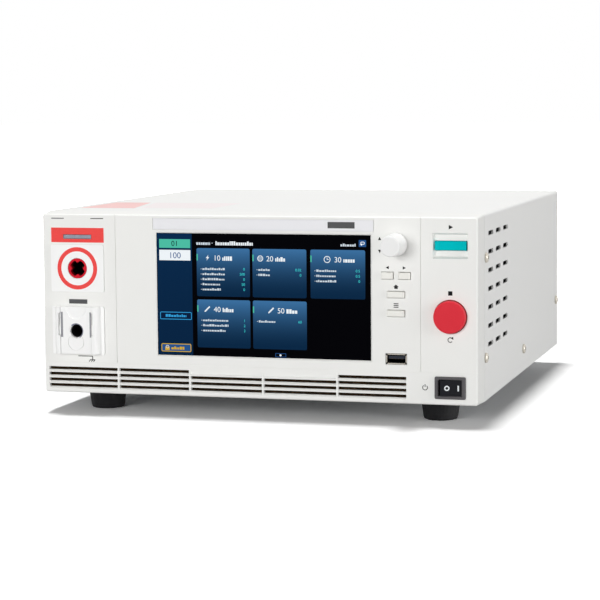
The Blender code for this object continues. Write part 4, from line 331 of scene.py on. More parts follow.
# Blue-grey of the painted shade and reflection in the chamfer of the slider's hole.
arc_grey = ink("arc_grey", srgb(128, 132, 150))
film_pink = ink("film_pink", srgb(243, 198, 195))
film_clear = ink("film_clear", srgb(242, 234, 234))
# Black for painted shade in holes: the USB shell's inside, its corner slits and the connectors' contact
# holes.
contact_black = moulded("contact_black", srgb(12, 12, 13), 0.85, 0.02 * MM, 0.08, 0.0)
tongue_grey = moulded("tongue_grey", srgb(44, 47, 56), 0.5, 0.01 * MM, 0.05, 0.2)
# Near-black of the sheets behind the side slots: painted shade seen through the slots.
barrier_sheet = moulded("barrier_sheet", srgb(26, 26, 27), 0.6, 0.02 * MM, 0.06, 0.2)
recess_shade = moulded("recess_shade", srgb(46, 38, 30), 0.8, 0.02 * MM, 0.2, 0.1)

NODE_FINISHES = (
    (moulding, "front_bezel"),
    (terminal_moulding, "hv_terminal_plate low_terminal_block low_lock_slider"),
    (knob_moulding, "jog_knob"),
    (key_moulding, "key_left key_right key_home key_memory"),
    (strip_film, "name_strip"),
    (cover_paint, "top_cover rear_panel"),
    (zinc, "bottom_chassis lcd_bracket"),
    (glass, "touch_panel"),
    (display_can, "lcd_module"),
    (lens, "output_lamp_lens"),
    (socket_red, "hv_socket"),
    (worn_contact, "hv_contact"),
    (start_teal, "start_button"),
    (stop_red, "stop_button"),
    (switch_black, "power_switch_frame"),
    (rocker_black, "power_rocker"),
    (fan_black, "fan_frame fan_rotor ac_inlet start_switch stop_switch low_socket"),
    (nickel, "rotary_encoder usb_host_port usb_device_port lan_port ground_terminal fan_guard"),
    (nickel, "signal_connector serial_connector"),
    (board, "control_board key_board power_board interface_board"),
    (core, "transformer_core"),
    (coil, "transformer_winding"),
    (aluminium, "heat_sink"),
)


def dress_nodes():
    finishes = {name: finish for finish, names in NODE_FINISHES for name in names.split()}
    for name, thing in frame["nodes"].items():
        if name.startswith(("foot_screw", "cover_screw")):
            finish = nickel
        elif name.startswith("foot_"):
            finish = rubber
        else:
            finish = finishes[name]
        thing.data.materials.clear()
        thing.data.materials.append(finish)


# Shapes
def link_object(name, data):
    thing = bpy.data.objects.new(name, data)
    bpy.context.collection.objects.link(thing)
    return thing


def evaluated(thing):
    """The mesh that an object's modifiers or letters give."""
    graph = bpy.context.evaluated_depsgraph_get()
    return bpy.data.meshes.new_from_object(thing.evaluated_get(graph))


def solid(name, shape, *materials):
    """An object made from a closed shape, with its faces turned outwards."""
    bmesh.ops.recalc_face_normals(shape, faces=shape.faces)
    mesh = bpy.data.meshes.new(name)
    shape.to_mesh(mesh)
    shape.free()
    for material in materials:
        mesh.materials.append(material)
    return link_object(name, mesh)


def settle(piece, body):
    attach(piece, body)
    return piece


def make_piece(name, shape, body, slot, *materials):
    return settle(solid(name, shape, *materials), body)


def skin(shape, loops, ring=False, material=0):
    """Walls from loop to loop, joined into a ring or capped at both ends."""
    pairs = list(zip(loops, loops[1:]))
    if ring:
        pairs.append((loops[-1], loops[0]))
        faces = []
    else:
        faces = [shape.faces.new(loops[0][::-1]), shape.faces.new(loops[-1])]
    for first, second in pairs:
        for index in range(len(first)):
            after = (index + 1) % len(first)
            faces.append(shape.faces.new((first[index], first[after], second[after], second[index])))
    for face in faces:
        face.material_index = material


def level_loops(shape, outline, heights):
    """The same outline of X and Y at each height."""
    return [[shape.verts.new((x, y, z)) for x, y in outline] for z in heights]


def add_block(shape, low, high, material=0):
    corners = bmesh.ops.create_cube(shape, size=1.0)["verts"]
    centre = (Vector(low) + Vector(high)) / 2
    size = Vector(high) - Vector(low)
    place = Matrix.Translation(centre) @ Matrix.Diagonal((*size, 1.0))
    bmesh.ops.transform(shape, matrix=place, verts=corners)
    for face in {face for corner in corners for face in corner.link_faces}:
        face.material_index = material


def add_sleeve(shape, outer, wall, front, back):
    """A rectangular tube along Y."""
    x0, x1, z0, z1 = outer
    loops = []
    for inset, y in ((0, front), (wall, front), (wall, back), (0, back)):
        outline = rectangle(x0 + inset, x1 - inset, z0 + inset, z1 - inset)
        loops.append([shape.verts.new((x, y, z)) for x, z in outline])
    skin(shape, loops, ring=True)


def circle(x, z, radius, count=32):
    angles = [math.tau * step / count for step in range(count)]
    return [(x + radius * math.cos(a), z + radius * math.sin(a)) for a in angles]


def rectangle(x0, x1, z0, z1):
    return [(x0, z0), (x1, z0), (x1, z1), (x0, z1)]


def rounded(x0, x1, z0, z1, radius, steps=4):
    """A rectangle with rounded corners."""
    corners = [(x1 - radius, z0 + radius), (x1 - radius, z1 - radius),
               (x0 + radius, z1 - radius), (x0 + radius, z0 + radius)]
    points = []
    for quarter, (x, z) in enumerate(corners):
        for step in range(steps + 1):
            angle = QUARTER * (quarter - 1 + step / steps)
            points.append((x + radius * math.cos(angle), z + radius * math.sin(angle)))
    return points


def triangle(x, z, size, turn):
    """An arrow head that points along an angle."""
    return [(x + size * math.cos(turn + a), z + size * math.sin(turn + a)) for a in (0, 2.2, -2.2)]


def front_point(across, up):
    """X and Z of a place on the front, in millimetres from its middle and from its lower edge."""
    return across * MM, BASE + up * MM


def front_box(left, right, low, high):
    """A rectangle on the front, in the same millimetres."""
    return rectangle(left * MM, right * MM, BASE + low * MM, BASE + high * MM)


FIGURE_SIZE = 1.38      # size of the font over the height of its figures


class Flats:
    """Thin closed plates that lie on one upright face and look towards -Y."""

    def __init__(self, y, thickness=0.03 * MM):
        self.shape = bmesh.new()
        self.fade = self.shape.verts.layers.float.new("fade")
        self.y = y
        self.thickness = thickness

    def depths(self, layer):
        """Front and back of a plate on one layer; higher layers stand in front."""
        back = self.y - layer * self.thickness
        return back - self.thickness, back

    def loop(self, outline, y):
        """Corners of an outline, each marked with its share of the outline's height."""
        heights = [z for _, z in outline]
        low = min(heights)
        span = max(heights) - low
        corners = []
        for x, z in outline:
            corner = self.shape.verts.new((x, y, z))
            corner[self.fade] = (z - low) / span
            corners.append(corner)
        return corners

    def plate(self, outline, material=0, layer=0):
        skin(self.shape, [self.loop(outline, y) for y in self.depths(layer)], material=material)

    def strip(self, outer, inner, material=0, layer=0):
        """A plate between two outlines with as many points each."""
        front, back = self.depths(layer)
        rims = ((outer, front), (inner, front), (inner, back), (outer, back))
        skin(self.shape, [self.loop(outline, y) for outline, y in rims], True, material)

    def ring(self, x, z, outer, inner, material=0, layer=0, count=48):
        self.strip(circle(x, z, outer, count), circle(x, z, inner, count), material, layer)

    def frame(self, x0, x1, z0, z1, radius, line, material=0, layer=0):
        """The outline of a rounded box, as a line of even width."""
        inner = rounded(x0 + line, x1 - line, z0 + line, z1 - line, max(radius - line, line / 4))
        self.strip(rounded(x0, x1, z0, z1, radius), inner, material, layer)

    def bar(self, start, end, width, material=0, layer=0):
        """A straight line with square ends."""
        start, end = Vector(start), Vector(end)
        along = end - start
        side = Vector((-along.y, along.x)).normalized() * (width / 2)
        self.plate([start - side, end - side, end + side, start + side], material, layer)

    def chain(self, points, width):
        for start, end in zip(points, points[1:]):
            self.bar(start, end, width)

    def number(self, words, x, z, height, material=0, layer=0, align="LEFT"):
        """Plain figures set in Blender's own font."""
        curve = bpy.data.curves.new("figures", "FONT")
        curve.body = words
        curve.size = height * FIGURE_SIZE
        curve.align_x = align
        curve.extrude = self.thickness / 2
        holder = link_object("figures", curve)
        mesh = evaluated(holder)
        bpy.data.objects.remove(holder)
        middle_y = sum(self.depths(layer)) / 2
        mesh.transform(Matrix.Translation((x, middle_y, z)) @ Matrix.Rotation(QUARTER, 4, "X"))
        before = len(self.shape.faces)
        self.shape.from_mesh(mesh)
        self.shape.faces.ensure_lookup_table()
        for face in self.shape.faces[before:]:
            face.material_index = material
        bpy.data.meshes.remove(mesh)


# Display picture
PANEL_RIM = 2.1 * MM        # part of the touch panel behind the bezel, on each side
panel_low, panel_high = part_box("touch_panel")
SCREEN_LEFT = panel_low.x + PANEL_RIM
SCREEN_TOP = panel_high.z - PANEL_RIM
SCREEN_WIDTH = panel_high.x - panel_low.x - 2 * PANEL_RIM
SCREEN_HEIGHT = panel_high.z - panel_low.z - 2 * PANEL_RIM

PICTURE_LAYERS = {
    "ground": (srgb(3, 3, 6), None),
    "sidebar": (srgb(8, 42, 76), srgb(8, 36, 66)),
    "tile": (srgb(60, 112, 160), srgb(3, 31, 59)),
    "white": (srgb(238, 244, 248), None),
    "pale": (srgb(205, 216, 226), None),
    "cyan": (srgb(62, 208, 212), None),
    "green": (srgb(76, 188, 162), None),
    "blue": (srgb(52, 160, 220), None),
    "yellow": (srgb(214, 172, 44), None),
    "navy": (srgb(10, 30, 60), None),
    "steel": (srgb(40, 84, 140), None),
}


class Picture(Flats):
    """What the display shows, placed in millimetres from its top left corner."""

    names = list(PICTURE_LAYERS)

    def at(self, across, down):
        return SCREEN_LEFT + across * MM, SCREEN_TOP - down * MM

    def edges(self, x0, x1, y0, y1):
        left, high = self.at(x0, y0)
        right, low = self.at(x1, y1)
        return left, right, low, high

    def box(self, x0, x1, y0, y1, tint, layer, radius=0.0):
        edges = self.edges(x0, x1, y0, y1)
        outline = rounded(*edges, radius * MM) if radius else rectangle(*edges)
        self.plate(outline, self.names.index(tint), layer)

    def outline_box(self, x0, x1, y0, y1, tint, layer, radius, line):
        edges = self.edges(x0, x1, y0, y1)
        self.frame(*edges, radius * MM, line * MM, self.names.index(tint), layer)

    def stroke(self, x0, y0, x1, y1, width, tint, layer):
        self.bar(self.at(x0, y0), self.at(x1, y1), width * MM, self.names.index(tint), layer)

    def shape_of(self, points, tint, layer):
        self.plate([self.at(*point) for point in points][::-1], self.names.index(tint), layer)

    def hoop(self, x, y, outer, inner, tint, layer):
        self.ring(*self.at(x, y), outer * MM, inner * MM, self.names.index(tint), layer, 28)

    def figures(self, words, x, y, height, tint, layer, align="LEFT"):
        self.number(words, *self.at(x, y), height * MM, self.names.index(tint), layer, align)

    def dashes(self, x, y, width, height, tint, layer, seed):
        """A line of short bars, which stands where the real screen has a word."""
        chance = random.Random(seed)
        end = x + width
        while x < end - 0.6:
            step = min(chance.choice((0.9, 1.3, 1.7)), end - x)
            rise = height * chance.choice((0.72, 1.0, 0.72))
            self.box(x, x + step, y - rise, y, tint, layer)
            x += step + 0.35


def draw_bolt(picture, x, y, layer):
    corners = ((1.9, -2.0), (0, 0.3), (1.1, 0.3), (0.5, 2.0), (2.6, -0.5), (1.4, -0.5))
    picture.shape_of([(x + across, y + down) for across, down in corners], "white", layer)


def draw_gauge(picture, x, y, layer):
    picture.hoop(x + 2.3, y, 2.1, 1.6, "white", layer)
    for rise in (-0.7, 0.1, 0.9):
        picture.stroke(x + 0.2, y + rise, x + 4.4, y + rise, 0.35, "pale", layer + 1)


def draw_clock(picture, x, y, layer):
    picture.hoop(x + 2.4, y, 2.4, 1.9, "white", layer)
    picture.stroke(x + 2.4, y + 0.15, x + 2.4, y - 1.4, 0.4, "white", layer)
    picture.stroke(x + 2.3, y, x + 3.6, y, 0.4, "white", layer)


def draw_pen(picture, x, y, layer):
    picture.stroke(x + 0.9, y + 1.2, x + 4.0, y - 1.8, 1.0, "white", layer)
    picture.shape_of([(x, y + 2.1), (x + 0.4, y + 0.8), (x + 1.3, y + 1.7)], "white", layer)


TILE_COLUMNS = (29.7, 70.8, 112.8)
TILE_ROWS = (10.5, 46.8)
TILE_WIDTH = 39.1
TILE_HEIGHT = 34.0
HEADING_DROP = 6.7
ROW_DROP = 14.3
ROW_PITCH = 3.6
TILES = (
    # column, row, sign and its place, heading and its place, then each line's value and width
    (0, 0, draw_bolt, 6.8, "10", 12.4, (("0", 17.7), ("500", 17.7), ("0", 17.7), ("50", 15.0), ("0", 14.6))),
    (1, 0, draw_gauge, 3.4, "20", 10.0, (("0.02", 10.0), ("0", 10.0))),
    (2, 0, draw_clock, 9.6, "30", 17.0, (("0.5", 15.4), ("0.5", 15.4), ("0", 15.4))),
    (0, 1, draw_pen, 5.3, "40", 12.2, (("1", 20.0), ("2", 20.0), ("3", 18.5))),
    (1, 1, draw_pen, 11.1, "50", 17.8, (("60", 14.0),)),
)


def draw_tile(picture, tile, seed):
    column, row, draw_sign, sign_shift, heading, heading_shift, lines = tile
    x = TILE_COLUMNS[column]
    y = TILE_ROWS[row]
    picture.box(x, x + TILE_WIDTH, y, y + TILE_HEIGHT, "tile", 1, 1.2)
    picture.box(x, x + 0.9, y + 4.1, y + 8.7, "green", 2)
    centre = y + HEADING_DROP
    draw_sign(picture, x + sign_shift, centre, 2)
    picture.figures(heading, x + heading_shift, centre + 1.9, 3.8, "white", 2)
    picture.dashes(x + heading_shift + 6.6, centre + 1.9, 8.0, 3.0, "white", 2, seed)
    for number, (value, width) in enumerate(lines):
        base = y + ROW_DROP + number * ROW_PITCH + 1.0
        start = x + 3.0
        picture.box(start, start + 0.5, base - 0.9, base - 0.4, "pale", 2)
        picture.dashes(start + 1.2, base, width - 1.2, 1.5, "pale", 2, seed * 10 + number)
        picture.figures(value, x + TILE_WIDTH - 3.6, base, 1.9, "cyan", 2, "RIGHT")


def draw_sidebar(picture, height):
    picture.box(0.3, 26.2, 0.3, height - 0.3, "sidebar", 1)
    picture.box(1.9, 25.0, 4.4, 10.6, "green", 2)
    picture.figures("01", 13.5, 9.2, 3.8, "ground", 3, "CENTER")
    picture.box(1.9, 25.1, 12.0, 19.4, "white", 2)
    picture.figures("100", 13.5, 17.9, 4.4, "steel", 3, "CENTER")
    picture.box(1.9, 25.5, 56.0, 61.4, "navy", 2, 0.8)
    picture.outline_box(1.9, 25.5, 56.0, 61.4, "blue", 3, 0.8, 0.45)
    picture.dashes(6.0, 59.6, 15.5, 1.9, "blue", 3, 5)
    picture.box(2.5, 24.8, 78.6, 84.4, "steel", 2, 1.0)
    picture.outline_box(2.5, 24.8, 78.6, 84.4, "yellow", 3, 1.0, 0.5)
    picture.box(5.4, 8.6, 80.9, 83.4, "yellow", 3)
    picture.hoop(7.0, 80.9, 1.2, 0.75, "pale", 3)
    picture.dashes(10.0, 82.8, 9.6, 2.0, "yellow", 3, 6)


def draw_top_line(picture):
    picture.dashes(29.6, 8.2, 10.2, 2.4, "pale", 1, 7)
    picture.box(41.0, 41.6, 6.6, 7.1, "pale", 1)
    picture.dashes(43.8, 8.3, 27.5, 2.8, "white", 1, 8)
    picture.dashes(134.4, 8.0, 11.6, 1.9, "pale", 1, 9)
    picture.box(147.4, 152.6, 3.5, 8.2, "steel", 1, 0.3)
    picture.outline_box(148.6, 151.6, 4.6, 6.6, "white", 2, 0.9, 0.45)
    picture.shape_of([(148.2, 6.6), (149.7, 5.8), (149.7, 7.5)], "white", 3)


def display_picture():
    picture = Picture(panel_low.y, 0.02 * MM)
    width = SCREEN_WIDTH / MM
    height = SCREEN_HEIGHT / MM
    picture.box(0.05, width - 0.05, 0.05, height - 0.05, "ground", 0)
    draw_sidebar(picture, height)
    draw_top_line(picture)
    picture.outline_box(86.9, 94.7, 83.5, 86.2, "steel", 1, 0.3, 0.35)
    picture.plate(circle(*picture.at(90.6, 84.9), 0.75 * MM, 16), picture.names.index("white"), 1)
    for seed, tile in enumerate(TILES, 1):
        draw_tile(picture, tile, seed)
    materials = [lit_pixels("display_" + name, *tints) for name, tints in PICTURE_LAYERS.items()]
    make_piece("display_picture", picture.shape, "root", "screen", *materials)


# Prints on the front
PRINT_LINE = 0.55 * MM


def front_prints():
    prints = Flats(FRONT)
    for start, end in ((-151.5, -141.9), (-121.5, -111.8)):
        prints.bar(front_point(start, 125.5), front_point(end, 125.5), PRINT_LINE)
    for across, up, turn in ((90.3, 113.4, QUARTER), (90.3, 105.1, -QUARTER), (95.9, 93.8, math.pi),
                             (107.3, 93.7, 0.0)):
        prints.plate(triangle(*front_point(across, up), 1.4 * MM, turn))
    ground = ((-132.6, 26.6), (-121.7, 26.6), (-121.7, 24.0))
    prints.chain([front_point(*place) for place in ground], PRINT_LINE)
    prints.bar(front_point(-123.7, 24.0), front_point(-119.7, 24.0), PRINT_LINE)
    for across in (-123.4, -121.7, -120.0):
        prints.bar(front_point(across, 24.0), front_point(across - 1.1, 22.7), PRINT_LINE)
    draw_button_marks(prints)
    draw_key_marks(prints)
    make_piece("black_prints", prints.shape, "root", "black", black_ink)


def draw_open_ring(prints, x, z, radius, start):
    """Fifteen points of a ring, 20 degrees apart, joined by short lines."""
    angles = [math.radians(start + step * 20) for step in range(15)]
    prints.chain([(x + radius * math.cos(a), z + radius * math.sin(a)) for a in angles], PRINT_LINE)


def draw_button_marks(prints):
    """Plain signs in place of the words: run, halt, return and power."""
    prints.plate(triangle(*front_point(139.6, 121.9), 1.9 * MM, 0.0))
    prints.plate(front_box(138.0, 141.0, 75.3, 78.3))
    x, z = front_point(139.5, 44.9)
    draw_open_ring(prints, x, z, 1.6 * MM, 40)
    prints.plate(triangle(x + 1.5 * MM, z + 1.2 * MM, 1.2 * MM, math.radians(-60)))
    x, z = front_point(121.9, 11.7)
    draw_open_ring(prints, x, z, 1.7 * MM, 125)
    prints.bar((x, z + 0.4 * MM), (x, z + 2.3 * MM), PRINT_LINE)


def draw_key_marks(prints):
    """A house over one key and stacked bars over the other."""
    prints.plate([front_point(99.8, 80.6), front_point(103.6, 80.6), front_point(101.7, 82.2)])
    prints.plate(front_box(100.5, 102.9, 79.2, 80.55))
    for up in (66.6, 67.8, 69.0):
        prints.plate(front_box(100.0, 103.4, up - 0.3, up + 0.3))


LAMP_WINDOW = (10.75 * MM, 1.6 * MM)    # half the width and height of the opening in the red band


def red_prints():
    """Band around the output lamp, and the ring around the high-voltage socket."""
    band = Flats(FRONT)
    lamp = middle("output_lamp_lens")
    across, up = LAMP_WINDOW
    window = rectangle(lamp.x - across, lamp.x + across, lamp.z - up, lamp.z + up)
    band.strip(front_box(-151.8, -111.6, 108.3, 118.8), window)
    make_piece("red_band", band.shape, "root", "red_button", red_ink)
    ring = Flats(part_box("hv_terminal_plate")[0].y)
    centre = middle("hv_terminal_plate")
    ring.ring(centre.x, centre.z, 15.2 * MM, 12.2 * MM, count=96)
    make_piece("red_ring", ring.shape, "root", "red_button", red_ink)


def dark_tags():
    """Blank dark tags on the front and on the name strip."""
    for name, y, box in (("terminal_tag", FRONT, (-139.0, -125.0, 64.3, 67.5)),
                         ("strip_tag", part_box("name_strip")[0].y, (53.5, 72.7, 120.3, 124.7))):
        tag = Flats(y)
        tag.plate(front_box(*box))
        make_piece(name, tag.shape, "root", "black", tag_ink)


def slider_shades():
    """Painted shade: grey strips along the slider's edges where its side slots lie in shadow, and a grey arc
    of painted shade and reflection over the upper right of its hole's chamfer.
    """
    low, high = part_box("low_lock_slider")
    terminal = middle("low_socket")
    edges = Flats(low.y, 0.04 * MM)
    # Strips of painted shade where the slots along the slider's edges lie in shadow.
    for x0, x1 in ((low.x + 1.5 * MM, low.x + 3.2 * MM), (high.x - 2.6 * MM, high.x - 1.5 * MM)):
        edges.plate(rectangle(x0, x1, terminal.z - 4.4 * MM, terminal.z + 13.6 * MM))
    make_piece("slider_edge_inlays", edges.shape, "slider_body", "moulding", inlay_grey)
    # Arc of painted shade and dark reflection over the upper right of the hole's chamfer.
    arc = bmesh.new()
    section = ((5.58, 0.00), (4.72, 0.86), (4.69, 0.82), (5.55, -0.04))
    loops = []
    for degrees in range(-60, 133, 8):
        across = math.cos(math.radians(degrees)) * MM
        up = math.sin(math.radians(degrees)) * MM
        places = [(terminal.x + radius * across, low.y + depth * MM, terminal.z + radius * up)
                  for radius, depth in section]
        loops.append([arc.verts.new(place) for place in places])
    skin(arc, loops)
    make_piece("slider_hole_arc", arc, "slider_body", "moulding", arc_grey)


def top_labels():
    """Two blank films stuck on the cover near its front edge: a pink one and a nearly clear one."""
    for name, places, finish in (
            ("cover_film_pink", ((-149, 50), (-107, 50), (-121, 124), (-149, 124)), film_pink),
            ("cover_film_clear", ((-103, 54), (-48, 54), (-48, 124), (-117, 124)), film_clear)):
        shape = bmesh.new()
        outline = [(x * MM, FRONT + y * MM) for x, y in places]
        skin(shape, level_loops(shape, outline, (cover_high.z, cover_high.z + 0.05 * MM)))
        make_piece(name, shape, "root", "cover_paint", finish)


ROCKER_TILT = math.radians(7)
ROCKER_CREST = 4.3 * MM     # how far the rocker's ridge stands in front of its pivot


def rocker_marks():
    """Ring and bar on the two halves of the rocker's face."""
    pivot = next(Vector(joint["pos_m"]) for joint in frame["joints"] if joint["name"] == "rocker_tilt")
    ring = Flats(0.0)
    ring.ring(0.0, 0.0, 1.8 * MM, 1.0 * MM, count=32)
    bar = Flats(0.0)
    bar.plate(rectangle(-0.5 * MM, 0.5 * MM, -1.95 * MM, 1.95 * MM))
    for name, mark, across, slope in (("rocker_ring", ring, -2.6 * MM, ROCKER_TILT),
                                      ("rocker_bar", bar, 5.2 * MM, -ROCKER_TILT)):
        face = Matrix.Translation((across, -ROCKER_CREST - abs(across) * math.tan(ROCKER_TILT), 0.0))
        lean = Matrix.Rotation(slope, 4, "Z")
        mark.shape.transform(Matrix.Translation(pivot) @ Matrix.Rotation(ROCKER_TILT, 4, "Z") @ face @ lean)
        make_piece(name, mark.shape, "rocker_body", "moulding", white_ink)


# Repeated pieces, each made by a node tree with named sizes
class Recipe(Graph):
    """A Geometry Nodes tree whose inputs are the sizes of what repeats."""

    def __init__(self, name, sizes):
        super().__init__(bpy.data.node_groups.new(name, "GeometryNodeTree"))
        self.name = name
        self.sizes = sizes
        for side in ("INPUT", "OUTPUT"):
            self.tree.interface.new_socket("Geometry", in_out=side, socket_type="NodeSocketGeometry")
        for label, value in sizes.items():
            kind = "NodeSocketInt" if isinstance(value, int) else "NodeSocketFloat"
            self.tree.interface.new_socket(label, in_out="INPUT", socket_type=kind)
        self.start = self.tree.nodes.new("NodeGroupInput")
        self.end = self.tree.nodes.new("NodeGroupOutput")

    def size(self, label):
        return Wire(self, self.start.outputs[label])

    def vector(self, x=0.0, z=0.0):
        return self.node("ShaderNodeCombineXYZ", {"X": x, "Z": z})

    def line(self, count, offset=(0, 0, 0)):
        return self.node("GeometryNodeMeshLine", {"Count": count, "Offset": offset})

    def copies(self, points, shape, **values):
        return self.node("GeometryNodeInstanceOnPoints", {"Points": points, "Instance": shape, **values})

    def real(self, geometry):
        return self.node("GeometryNodeRealizeInstances", {"Geometry": geometry})

    def placed(self, geometry, place, turn=(0, 0, 0)):
        values = {"Geometry": geometry, "Translation": place, "Rotation": turn}
        return self.node("GeometryNodeTransform", values)

    def joined(self, parts):
        whole = self.node("GeometryNodeJoinGeometry")
        for part in parts:
            self.feed(whole.socket.node.inputs[0], part)
        return whole

    def grow(self, geometry, material, slot, seeds=None):
        """End the tree, run it on a seed mesh and keep the result as a plain piece of the case."""
        values = {"Geometry": self.real(geometry), "Material": material}
        self.feed(self.end.inputs[0], self.node("GeometryNodeSetMaterial", values))
        holder = link_object(self.name + "_seed", seeds or bpy.data.meshes.new(self.name + "_seed"))
        modifier = holder.modifiers.new(self.name, "NODES")
        modifier.node_group = self.tree
        for item in self.tree.interface.items_tree:
            if item.in_out == "INPUT" and item.name in self.sizes:
                modifier[item.identifier] = self.sizes[item.name]
        mesh = evaluated(holder)
        holder.modifiers.clear()
        bpy.data.objects.remove(holder)
        mesh.name = self.name
        return settle(link_object(self.name, mesh), "root")


def seed_points(name, points):
    """Bare points, each with the direction that its copy looks in."""
    mesh = bpy.data.meshes.new(name)
    mesh.from_pydata([point for point, _ in points], [], [])
    directions = mesh.attributes.new("outwards", "FLOAT_VECTOR", "POINT")
    for index, (_, outwards) in enumerate(points):
        directions.data[index].vector = outwards
    return mesh


def cross_bar(turn):
    """Cutter for one slot of the cross recess, narrow at the bottom."""
    shape = bmesh.new()
    add_block(shape, (-0.67, -0.15, 0.31), (0.67, 0.15, 0.93))
    for corner in shape.verts:
        if corner.co.z < 0.6:
            corner.co.x *= 0.35
    shape.transform(Matrix.Rotation(turn, 4, "Z"))
    return solid("cross_bar", shape, nickel)


def pan_head():
    """Rounded screw head with a cross recess, standing on Z = 0 and one unit in radius."""
    profile = ((1.0, 0.0), (1.0, 0.22), (0.94, 0.36), (0.80, 0.47), (0.58, 0.545), (0.30, 0.575))
    shape = bmesh.new()
    loops = []
    for radius, height in profile:
        loops += level_loops(shape, circle(0.0, 0.0, radius), [height])
    skin(shape, loops)
    head = solid("pan_head", shape, nickel)
    bars = [cross_bar(turn) for turn in (0.0, QUARTER)]
    for bar in bars:
        modifier = head.modifiers.new("recess", "BOOLEAN")
        modifier.operation = "DIFFERENCE"
        modifier.solver = "EXACT"
        modifier.object = bar
    mesh = evaluated(head)
    for tool in (head, *bars):
        bpy.data.objects.remove(tool)
    return link_object("pan_head", mesh)


def cross_floor():
    """Dark floor of the cross recess, nearly flush: painted shade that keeps the cross dark."""
    arm = 0.56
    half = 0.14
    corners = [(arm, -half), (arm, half), (half, half)]
    outline = []
    for _ in range(4):
        outline += corners
        corners = [(-y, x) for x, y in corners]
    shape = bmesh.new()
    skin(shape, level_loops(shape, outline, (0.38, 0.53)))
    return solid("cross_floor", shape, recess_shade)


def on_screw_seats(name, points, source, material, slot):
    """Copies of one shape on all the screw seats, each turned as its driver left it."""
    recipe = Recipe(name, {"Head radius": 3.55 * MM, "Turn": math.pi})
    shape = recipe.node("GeometryNodeObjectInfo", {"Object": source}, "Geometry")
    outwards = recipe.node("GeometryNodeInputNamedAttribute", {"Name": "outwards"}, data_type="FLOAT_VECTOR")
    facing = recipe.node("FunctionNodeAlignRotationToVector", {"Vector": outwards}, axis="Z")
    chance = {"Max": recipe.size("Turn"), "Seed": 4}
    spin = recipe.vector(z=recipe.node("FunctionNodeRandomValue", chance, 1, data_type="FLOAT"))
    turned = {"Rotation": facing, "Rotate By": spin}
    rotation = recipe.node("FunctionNodeRotateRotation", turned, rotation_space="LOCAL")
    seats = recipe.size("Geometry")
    heads = recipe.copies(seats, shape, Rotation=rotation, Scale=recipe.size("Head radius"))
    piece = recipe.grow(heads, material, slot, seed_points(name + "_seats", points))
    bpy.data.objects.remove(source)
    return piece


def cover_screws():
    """Pan-head screws of both sides."""
    names = sorted(name for name in frame["nodes"] if name.startswith("cover_screw"))
    points = []
    for name in names:
        centre = middle(name)
        outwards = 1.0 if centre.x > 0 else -1.0
        seat = cover_high.x if outwards > 0 else cover_low.x
        points.append(((seat + outwards * 0.1 * MM, centre.y, centre.z), (outwards, 0.0, 0.0)))
    heads = on_screw_seats("cover_screw_heads", points, pan_head(), nickel, "nickel")
    # Dark crosses of painted shade in the recesses of the heads.
    on_screw_seats("cover_screw_recesses", points, cross_floor(), recess_shade, "black")
    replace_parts(heads, *names)


def fan_guard():
    """Finger guard: round wires welded to two crossed spokes."""
    recipe = Recipe("fan_guard_wires", {"Rings": 4, "First radius": 12 * MM, "Pitch": 8 * MM,
                                        "Wire": 0.75 * MM, "Reach": 44 * MM})
    index = recipe.node("GeometryNodeInputIndex")
    hoop = recipe.node("GeometryNodeCurvePrimitiveCircle", {"Resolution": 72, "Radius": 1.0})
    radius = index * recipe.size("Pitch") + recipe.size("First radius")
    hoops = recipe.copies(recipe.line(recipe.size("Rings")), hoop, Scale=radius)
    end = recipe.vector(x=recipe.size("Reach"))
    start = recipe.vector(x=recipe.size("Reach") * -1.0)
    spoke = recipe.node("GeometryNodeCurvePrimitiveLine", {"Start": start, "End": end})
    spokes = recipe.copies(recipe.line(2), spoke, Rotation=recipe.vector(z=index * QUARTER + QUARTER / 2))
    wires = recipe.joined([recipe.real(spokes), recipe.real(hoops)])
    section = {"Resolution": 10, "Radius": recipe.size("Wire")}
    profile = recipe.node("GeometryNodeCurvePrimitiveCircle", section)
    values = {"Curve": wires, "Profile Curve": profile, "Fill Caps": True}
    tubes = recipe.node("GeometryNodeCurveToMesh", values)
    guard = recipe.placed(tubes, middle("fan_guard"), (QUARTER, 0, 0))
    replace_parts(recipe.grow(guard, nickel, "nickel"), "fan_guard")


def contact_rows(name, node, count):
    """Two staggered rows of black discs on the face of a D-shaped connector: painted shade in place of
    contact holes.
    """
    recipe = Recipe(name, {"Contacts": count, "Pitch": 2.77 * MM, "Row gap": 2.84 * MM, "Radius": 0.75 * MM,
                           "Height": 0.3 * MM})
    pitch = recipe.size("Pitch")
    rows = []
    for side, shift in ((0.5, 0.0), (-0.5, 0.5)):
        start = recipe.vector(pitch * (shift - count / 2 + 0.25), recipe.size("Row gap") * side)
        row = recipe.line(recipe.size("Contacts"), recipe.vector(x=pitch))
        rows.append(recipe.placed(row, start))
    hole = recipe.node("GeometryNodeMeshCylinder", {
        "Vertices": 14, "Radius": recipe.size("Radius"), "Depth": recipe.size("Height")})
    holes = recipe.copies(recipe.joined(rows), hole, Rotation=(QUARTER, 0, 0))
    centre = middle(node)
    place = (centre.x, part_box(node)[1].y + 0.1 * MM, centre.z)
    recipe.grow(recipe.placed(holes, place), contact_black, "black")


